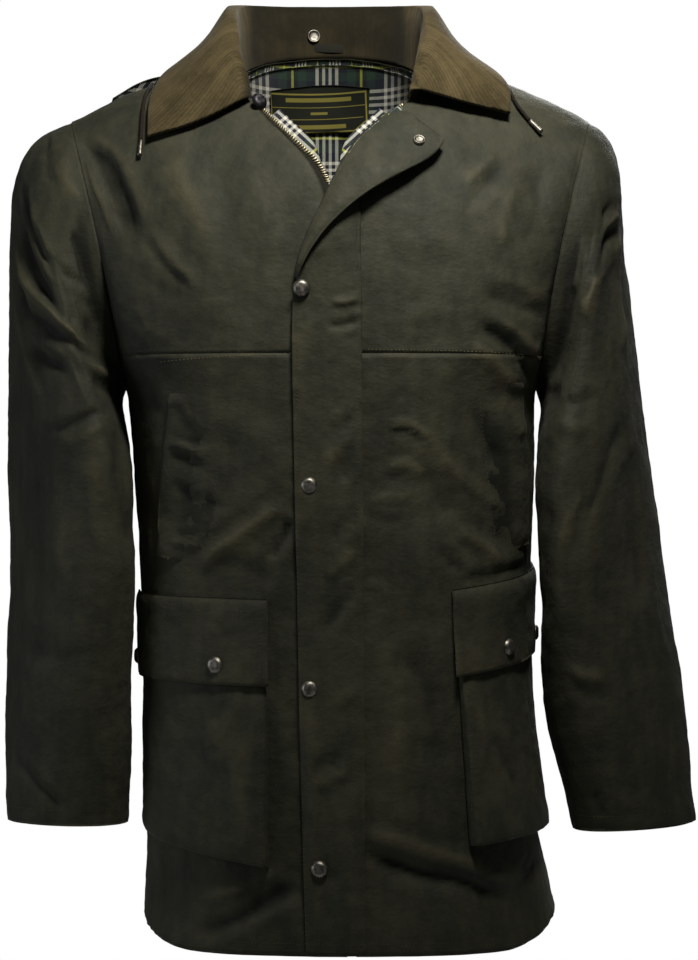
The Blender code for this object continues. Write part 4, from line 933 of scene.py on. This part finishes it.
def drawn_together(node, points, gap):
    """Steps that close a seam: each edge goes nearly half the way to the piece it is sewn to."""
    steps = np.zeros((len(points), 3))
    for i in np.flatnonzero(gap < SEAM_NEAR):
        near = [surfaces[other].find_nearest(points[i], SEAM_REACH) for other in SEWN.get(node, ())]
        near = [hit for hit in near if hit[0] is not None]
        if near:
            step = np.array(min(near, key=lambda hit: hit[3])[0]) - points[i]
            steps[i] = step * DRAWN * math.exp(-((gap[i] / SEAM_FADE) ** 2))
    return steps


def free_of_armhole(points):
    """0 at an armhole seam, 1 a little way from it."""
    start = SEAM_REACH / 2
    return ramp(away(armhole_edge, points), start, start + ARMHOLE_REACH)


def store(shape, name, rows):
    """Writes a value or a vector for each vertex."""
    layers = shape.verts.layers.float_vector if rows.ndim == 2 else shape.verts.layers.float
    layer = layers.new(name)
    for vert, row in zip(shape.verts, rows):
        vert[layer] = tuple(row) if rows.ndim == 2 else float(row)


def looks_in(centres, normals, ways):
    """Faces that look into the coat."""
    return np.einsum("ij,ij->i", normals, ways) < LOOKS_IN


Cloth = namedtuple("Cloth", "over finishes slot share own sides weave marks")
PLAIN = Cloth("trunk", (outer_cloth, lining), "waxed_cotton", 1.0, None, looks_in, None, {})


def dressed(node, cell, flat, area, **changes):
    """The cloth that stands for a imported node, plain but for the changes."""
    over, finishes, slot, share, own, sides, weave, marks = PLAIN._replace(**changes)
    shape = fine_copy(node, cell * MM)
    points = np.array([v.co for v in shape.verts])
    seen = points[:, 0] / MM, points[:, 2] / MM
    out, laid = charts[over](points)
    gap = away(edge_tree(shape), points)
    shape.normal_update()
    outside = np.einsum("ij,ij->i", np.array([v.normal for v in shape.verts]), out) > 0
    push = pushes[over](points) * share * free_of_armhole(points)
    if own:
        push += own(*seen)
    steps = drawn_together(node, points, gap)
    roll = EDGE_ROLL * np.exp(-((gap / EDGE_REACH) ** 2)) * outside
    roll *= np.linalg.norm(steps, axis=1) == 0
    centres = np.array([f.calc_center_median() for f in shape.faces])
    normals = np.array([f.normal for f in shape.faces])
    if len(finishes) > 1:
        for face, side in zip(shape.faces, sides(centres, normals, charts[over](centres)[0])):
            face.material_index = int(side)
    for vert, place in zip(shape.verts, points + steps + out * ((push - roll) * MM)[:, None]):
        vert.co = place
    store(shape, "weave", weave(*seen) if weave else np.c_[laid, np.zeros(len(points))])
    for mark, value in marks.items():
        store(shape, mark, value(*seen))
    # Fold value for the finish: ridges painted paler as wear and painted highlight, troughs painted
    # darker as painted shade; rubbed edges add wear.
    rub = np.clip(push / WEAR_AND_SHADE_AT, WEAR_AND_SHADE_LEAST, WEAR_AND_SHADE_MOST)
    store(shape, "rub", rub + EDGE_RUB * np.exp(-((gap / EDGE_RUB_REACH) ** 2)))
    piece = finished(f"{node}_cloth", shape, finishes, node)
    print(piece.name, len(piece.data.polygons), "faces")
    return piece


print("panels sewn to others:", len(SEWN))

# %% [markdown]
# ## What each layer does on its own
# The layers lie on each other, but not flat. The storm flap is free along one edge, which lifts
# and waves. A pocket's flap is lifted by the cloth it covers. A hand-warmer's welt is sewn down
# on three sides, where it sinks into the front, and only its mouth stands up as a fold.

# %% Lifts of single layers
FLAP_EDGE = -33.0
FLAP_SEAM = 20.0
FLAP_FOLD = -190.0
FLAP_WAVE = (1.1, 0.9, 33.0, 81.0)
COVER = (76.0, 1.6)
WELT_SINK = -3.4
WELT_ENDS = 14.0


def flap_lift(x, z):
    """The storm flap's free edge, lifted and waved below its fold."""
    free = ramp(x, FLAP_SEAM - 14, FLAP_EDGE) * ramp(z, FLAP_FOLD, FLAP_FOLD - 50)
    level, height, short, long = FLAP_WAVE
    return free * (level + height * np.sin(z / short) * np.sin(z / long + 1.0))


def cover_lift(top):
    """A pocket flap, lifted towards its lower edge."""
    height, most = COVER
    return lambda x, z: most * ramp(z, top - height * 0.2, top - height)


def welt_lift(inner_top, inner_low, mouth_top, mouth_low):
    """Sinks a welt except near its mouth, from the four corners."""

    def lift(x, z):
        up = (z - inner_low[1]) / (inner_top[1] - inner_low[1])
        inner = inner_low[0] + (inner_top[0] - inner_low[0]) * up
        mouth = mouth_low[0] + (mouth_top[0] - mouth_low[0]) * up
        near_mouth = ramp((x - inner) / (mouth - inner), 0.5, 0.92)
        ends = ramp(np.minimum(z - inner_low[1], inner_top[1] - z), 0, WELT_ENDS)
        return WELT_SINK * (1 - near_mouth * ends)

    return lift


lifts = {
    "storm_flap": flap_lift,
    "pocket_flap_right": cover_lift(-461),
    "pocket_flap_left": cover_lift(-450),
    "welt_right": welt_lift((-92, -275), (-105, -440), (-141, -277), (-151, -424)),
    "welt_left": welt_lift((128, -262), (146, -428), (171, -268), (177, -414)),
}
print("layers that lift or sink:", len(lifts))

# %% [markdown]
# ## The body, layer by layer
# Each panel is given with the cell that its folds need, its flat size as it would be cut, and the
# area of it that shows. They are dressed from the body outwards.

# %% Body and sleeves
FINE, COARSE = 3.4, 6.0
PANELS = (
    ("front_right", FINE, (0.29, 0.53), 0.138),
    ("front_left", FINE, (0.27, 0.53), 0.128),
    ("yoke_right", FINE, (0.27, 0.30), 0.061),
    ("yoke_left", FINE, (0.26, 0.30), 0.059),
    ("back", COARSE, (0.56, 0.82), 0.379),
    ("storm_flap", FINE, (0.075, 0.78), 0.048),
    ("pocket_right", FINE, (0.20, 0.30), 0.043),
    ("pocket_left", FINE, (0.20, 0.30), 0.047),
    ("pocket_flap_right", FINE, (0.19, 0.10), 0.0153),
    ("pocket_flap_left", FINE, (0.19, 0.10), 0.0156),
    ("welt_right", FINE, (0.056, 0.19), 0.0093),
    ("welt_left", FINE, (0.056, 0.19), 0.0091),
)
pieces = {}
for node, cell, flat, area in PANELS:
    pieces[node] = dressed(node, cell, flat, area, own=lifts.get(node))
for node in SLEEVES:
    pieces[node] = dressed(node, 3.8, (0.43, 0.66), 0.25, over=node)

# %% [markdown]
# ## Collar, hood and lining
# The collar's inner face at the back of the neck is painted dark, as painted shade. The hood lies
# rolled behind the shoulders: its tartan shows, and its opening is bound in dark green. The lining
# keeps to the coat's own flat position, so its check runs level and plumb behind the label.

# %% Collar, hood and lining
NECK_RIGHT, NECK_LEFT, NECK_SOFT = -77.0, 71.0, 6.0
BINDING = 4.0 * MM
LABEL_SINK = -0.9


def nap(x, z):
    """Painted shade: 1 on the collar's inner face, between its two rolls, which is darkened."""
    return ramp(x - NECK_RIGHT, -NECK_SOFT, NECK_SOFT) * ramp(x - NECK_LEFT, NECK_SOFT, -NECK_SOFT)


def worn_level(x, z):
    """The lining's own flat position: plumb, with a white group of stripes behind the label."""
    return np.stack([x + 3.6, z - 1.5, 0 * x], axis=1) * MM


def along_zip(x, z):
    """A facing's flat position: its check runs with the zip, which slopes at 45 degrees."""
    ways = [np.abs(x) - z + 24, np.abs(x) + z + 6, 0 * x]
    return np.stack(ways, axis=1) * MM * math.sqrt(0.5)


def hood_side(centres, normals, ways):
    """0 for the outside, 1 for the lining and 2 for the bound opening."""
    return np.where(away(hood_edges, centres) < BINDING, 2, looks_in(centres, normals, ways))


rough = joined_copy("hood")
hood_edges = edge_tree(rough)
rough.free()
PLUMB = dict(finishes=[lining], slot="tartan", share=0.5, weave=worn_level)
FACING = dict(finishes=[lining], slot="tartan", share=0.0, weave=along_zip)
TAPE = dict(finishes=[tape_cloth], slot="zip_tape", share=0.0)
LABEL = dict(finishes=[label_cloth], slot="label", share=0.5, own=lambda x, z: LABEL_SINK + 0 * x)
CORD = dict(finishes=[corduroy], slot="corduroy", share=0.3, marks={"nap": nap})
HOOD = dict(finishes=[outer_cloth, lining, piping], share=0.5, sides=hood_side)
for node, cell, flat, area, how in (
    ("collar", 3.6, (0.50, 0.17), 0.066, CORD),
    ("hood", 5.0, (0.40, 0.36), 0.123, HOOD),
    ("lining_back", 4.0, (0.30, 0.25), 0.067, PLUMB),
    ("facing_right", 4.0, (0.016, 0.14), 0.0018, FACING),
    ("facing_left", 4.0, (0.016, 0.14), 0.0017, FACING),
    ("zip_tape_right", 8.0, (0.014, 0.80), 0.0108, TAPE),
    ("zip_tape_left", 8.0, (0.014, 0.80), 0.0108, TAPE),
    ("neck_label", 6.0, (0.10, 0.055), 0.005, LABEL),
):
    pieces[node] = dressed(node, cell, flat, area, **how)

# %% [markdown]
# ## Sewing
# A seam on cloth this thick shows as a row of small, evenly spaced stitches that sit in the
# surface. One stitch is a tiny bead of thread. A row is a line seen from the front: at every step
# a ray is sent at the coat, and a bead is laid where it lands, along the row and flat on the
# cloth. Drawing them into the finish would be cheaper, but a drawn stitch has no height, and near
# seams the eye looks for it.

# %% Stitches
STITCH_LONG, STITCH_THICK = 2.5 * MM, 0.55 * MM
PITCH = 3.3 * MM
STAND_OFF = 0.6
TRUNK_MIDDLE = (0.005, -0.006)
HEM_ROWS = (5.0, 11.0)
CUFF_ROW, CUFF_SPAN = 14.0, 60.0 * MM
TRUNK_REACH, CUFF_REACH = 0.5, 0.085
SKIP, NEAR_WAY = 0.02, 0.09
BARE = ("neck_label", "lining_back", "hood", "zip_tape_right", "zip_tape_left")
coat = surface_of(*(piece.data for name, piece in pieces.items() if name not in BARE))


def bead(shape, place, along, normal):
    """One stitch, laid flat."""
    side = normal.cross(along).normalized()
    along = side.cross(normal).normalized()
    turn = Matrix((along, side, normal)).transposed().to_4x4()
    size = Matrix.Diagonal((STITCH_LONG / 2, STITCH_THICK / 2, STITCH_THICK / 2, 1.0))
    where = Matrix.Translation(place) @ turn @ size
    bmesh.ops.create_icosphere(shape, subdivisions=1, radius=1.0, matrix=where)


def landed(x, z):
    """Where a ray from the front meets the coat, and its normal there."""
    return coat.ray_cast(Vector((x, -STAND_OFF, z)), Vector((0, 1, 0)))[:2]


def sewn(shape, route):
    """Lays a row along a route seen from the front, in millimetres across and up."""
    laid = 0
    for (x0, z0), (x1, z1) in zip(route, route[1:]):
        first, last = Vector((x0, 0, z0)) * MM, Vector((x1, 0, z1)) * MM
        steps = max(int((last - first).length / PITCH), 1)
        for i in range(steps):
            aim = first.lerp(last, (i + 0.5) / steps)
            place, normal = landed(aim.x, aim.z)
            if place:
                bead(shape, place, last - first, normal)
                laid += 1
    return laid


def hem_row(shape, centre, levels, above, reach):
    """Lays a row round a tube, a little above its edge, from the edge's heights round it."""
    laid, around = 0, 0.0
    while around < math.tau:
        ray = -Vector((math.sin(around), -math.cos(around), 0.0))
        height = np.interp(around, np.linspace(0, math.tau, len(levels)), levels)
        height += above * MM
        place, normal, _, _ = coat.ray_cast(Vector((*centre, height)) - ray * reach, ray)
        if place:
            bead(shape, place, ray.cross(Vector((0, 0, 1))), normal)
            laid += 1
            around += PITCH / math.hypot(place.x - centre[0], place.y - centre[1])
        else:
            around += SKIP
    return laid


def edge_levels(names, centre, count=49):
    """Lowest heights of pieces in directions round a centre."""
    points = np.concatenate([[v.co[:] for v in pieces[name].data.vertices] for name in names])
    turn = np.arctan2(points[:, 0] - centre[0], centre[1] - points[:, 1]) % math.tau
    levels = []
    for i in range(count):
        off = np.abs((turn - math.tau * i / (count - 1) + math.pi) % math.tau - math.pi)
        levels.append(points[off < NEAR_WAY, 2].min())
    return levels


# Each row: the across and up of each of its points.
PALE_ROWS = (
    (-150, -253, -95, -249, -38, -247.5),
    (33, -243, 110, -244, 172, -246),
)
PLAIN_ROWS = (
    (26, -250, 26, -330, 24, -420, 22, -500, 21, -600, 20, -700, 21, -752),
    (-28, -215, -28, -330, -27, -450, -26, -560, -22, -690, -19, -762),
    (-130, -271, -91, -275),
    (-146, -424, -118, -440),
    (-93, -282, -101, -380, -105, -430),
    (130, -268, 168, -272),
    (131, -275, 141, -360, 148, -420),
    (146, -432, 174, -420),
    (-148, -467, -100, -471, -58, -473),
    (-148, -476, -100, -480, -58, -482),
    (103, -452, 140, -443, 172, -438),
    (103, -460, 140, -452, 172, -446),
    (-148, -530, -100, -537, -61, -543),
    (113, -528, 145, -518, 173, -508),
    (-59, -488, -61, -540),
    (105, -466, 113, -526),
    (-62, -560, -60, -640, -59, -696),
    (-146, -650, -120, -682, -62, -702),
    (118, -560, 126, -620, 124, -660),
    (-20, -742, -8, -742, -8, -762, -20, -762, -20, -742),
    (-74, -378, -70, -392, -74, -378),
    (-56, -482, -47, -486),
    (68, -35, 98, -58),
)
for kind, twist, rows in (("pale", pale_thread, PALE_ROWS), ("plain", thread, PLAIN_ROWS)):
    shape = bmesh.new()
    count = sum(sewn(shape, list(zip(row[::2], row[1::2]))) for row in rows)
    if kind == "plain":
        levels = edge_levels(("front_right", "front_left", "back"), TRUNK_MIDDLE)
        for above in HEM_ROWS:
            count += hem_row(shape, TRUNK_MIDDLE, levels, above, TRUNK_REACH)
        for node in SLEEVES:
            low = np.array([v.co[:] for v in pieces[node].data.vertices])
            low = low[low[:, 2] < low[:, 2].min() + CUFF_SPAN]
            middle = tuple((low.min(axis=0) + low.max(axis=0))[:2] / 2)
            levels = edge_levels((node,), middle)
            count += hem_row(shape, middle, levels, CUFF_ROW, CUFF_REACH)
    finished(f"stitches_{kind}", shape, [twist])
    print(kind, "stitches:", count)

# %% [markdown]
# ## The tab under the collar
# A short dark tab is sewn into the collar's seam at the back of the neck. It is one thin strip of
# tape, laid where a ray from the front lands on the collar's inner face, and left plain.

# %% Neck tab
TAB = (40.0 * MM, 0.9 * MM, 8.0 * MM)
TAB_AT = (-8.0 * MM, 52.0 * MM)
TAB_TILT = 0.03


def block(shape, where, size, rounding, segments):
    """A small block of a size, its edges rounded."""
    made = bmesh.ops.create_cube(shape, size=1.0, matrix=where @ Matrix.Diagonal((*size, 1.0)))
    edges = list({edge: 0 for vert in made["verts"] for edge in vert.link_edges})
    how = {"segments": segments, "profile": 0.5, "affect": "EDGES", "material": -1}
    bmesh.ops.bevel(shape, geom=edges, offset=rounding, **how)


place, normal = landed(*TAB_AT)
shape = bmesh.new()
where = Matrix.Translation(place + normal * TAB[1]) @ Matrix.Rotation(TAB_TILT, 4, "Y")
block(shape, where, TAB, 0.3 * MM, 2)
finished("neck_tab", shape, [tape_cloth])
print("tab at", tuple(round(v / MM) for v in place), "mm")

# %% [markdown]
# ## The zip's teeth
# A moulded tooth is a small block on the tape's edge, with a gap of its own width to the next.
# Only the open part shows, from the slider up to the collar: the closed part lies under the storm
# flap. Each tooth is set from the tape's own surface, square to the way the edge runs.

# %% Zip teeth
TOOTH = (1.7 * MM, 4.4 * MM, 2.2 * MM)
TOOTH_PITCH = 3.0 * MM
OPEN_ZIP = ((-0.5, -111.5, -90.5), (18, -103, -72), (44, -82, -46), (64, -60, -24), (70, -52, -20))
TEETH_IN = (Vector((1.0, 0.0, 0.1)), Vector((0.51, 0.0, 0.86)))
TEETH_OFF = 4.0 * MM
OVERLAP = 8.0

shape = bmesh.new()
count = 0
for side, name in ((-1, "zip_tape_right"), (1, "zip_tape_left")):
    tape = surface_of(pieces[name].data)
    route = [(side * x, y, z) for x, y, z in OPEN_ZIP]
    route[0] = (route[0][0] + OVERLAP, *route[0][1:])
    length = sum(np.linalg.norm(np.subtract(b, a)) for a, b in zip(route, route[1:])) * MM
    steps = int(length / TOOTH_PITCH)
    for i in range(steps):
        share = (i + 0.5) / steps
        here, ahead = (Vector(along_route(route, s)) * MM for s in (share, min(share + 0.01, 1.0)))
        inward = TEETH_IN[0].lerp(TEETH_IN[1], min(share * 1.6, 1.0))
        inward = Vector((-side * inward.x, inward.y, inward.z)).normalized()
        place = tape.find_nearest(here + inward * TEETH_OFF)[0]
        along = (ahead - here).normalized() if share < 0.99 else along
        face = along.cross(inward).normalized()
        turn = Matrix((along, inward, face)).transposed().to_4x4()
        block(shape, Matrix.Translation(place) @ turn, TOOTH, 0.35 * MM, 1)
        count += 1
finished("zip_teeth", shape, [tooth_metal])
print("zip teeth:", count)

# %% [markdown]
# ## Snaps, slider, pull and cord tips
# These are stamped or cast, with rounded edges that catch the light. The imported solids already
# have their true forms, so each is only smoothed, and gets its metal. The pull tab alone rides on a
# body of its own, because it swings on the slider.

# %% Metal
CELL = 4.0 * MM


def fitting(node, finish):
    """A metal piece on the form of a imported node."""
    return finished(f"{node}_metal", fine_copy(node, CELL), [finish], node)


snaps = [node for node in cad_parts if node.startswith("snap_")]
for node in snaps:
    fitting(node, dark_cap if node == "snap_throat" else pewter)
for side, route in CORDS.items():
    fitting(f"cord_tip_{side}", pewter)
fitting("zip_slider", tooth_metal)
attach(fitting("zip_pull", tooth_metal), "zip_pull")
print("snaps:", len(snaps))

# %% [markdown]
# ## Light and floor
# Waxed cloth is dark, and its folds show only in light that falls across them. A small warm lamp
# above and in front rakes down the chest, a wide cool one opens the shadows from the side, and
# one behind parts the shoulders from the backdrop. The sky is white to the camera but dim to the
# cloth. The pale floor lies well below the hem.

# %% Light and floor
FLOOR = -1.45
FLOOR_HALF = 3.4
AMBIENT = 0.034
BACKDROP = 1.0

world = bpy.data.worlds.new("studio")
bpy.context.scene.world = world
world.use_nodes = True
sky = world.node_tree
seen = sky.nodes.new("ShaderNodeLightPath")
brightness = sky.nodes.new("ShaderNodeMapRange")
brightness.inputs["To Min"].default_value = AMBIENT
brightness.inputs["To Max"].default_value = BACKDROP
sky.links.new(seen.outputs["Is Camera Ray"], brightness.inputs["Value"])
sky.links.new(brightness.outputs[0], sky.nodes["Background"].inputs["Strength"])
sky.nodes["Background"].inputs["Color"].default_value = (1.0, 1.0, 1.0, 1.0)


Lamp = namedtuple("Lamp", "name place aim watts size colour spread")
LAMPS = (
    Lamp("key", (0.18, -0.68, 0.72), (0.04, 0.0, -0.05), 3.0, 0.28, (1.0, 0.96, 0.86), 74),
    Lamp("fill", (-1.6, -0.5, -0.3), (-0.3, 0.0, -0.4), 4.0, 0.9, (0.92, 0.98, 1.0), 180),
    Lamp("rear", (0.6, 2.0, 1.0), (0.0, 0.0, -0.3), 45.0, 1.2, (1.0, 1.0, 1.0), 180),
)
for lamp in LAMPS:
    light = added(lamp.name, bpy.data.lights.new(lamp.name, "AREA"))
    light.data.shape = "DISK"
    light.data.energy, light.data.size, light.data.color = lamp.watts, lamp.size, lamp.colour
    light.data.spread = math.radians(lamp.spread)
    light.location = lamp.place
    way = Vector(lamp.aim) - Vector(lamp.place)
    light.rotation_euler = way.to_track_quat("-Z", "Y").to_euler()

shape = bmesh.new()
bmesh.ops.create_grid(shape, x_segments=1, y_segments=1, size=FLOOR_HALF)
sheet = bpy.data.meshes.new("floor")
shape.to_mesh(sheet)
shape.free()
sheet.transform(Matrix.Translation((0, 0, FLOOR)))
sheet.materials.append(Finish("floor", Base_Color=dye("e9e8e4"), Roughness=0.7).made)
added("floor", sheet)
bpy.context.scene.view_settings.view_transform = "Standard"
print("lamps:", len(LAMPS), "floor at", FLOOR, "m")
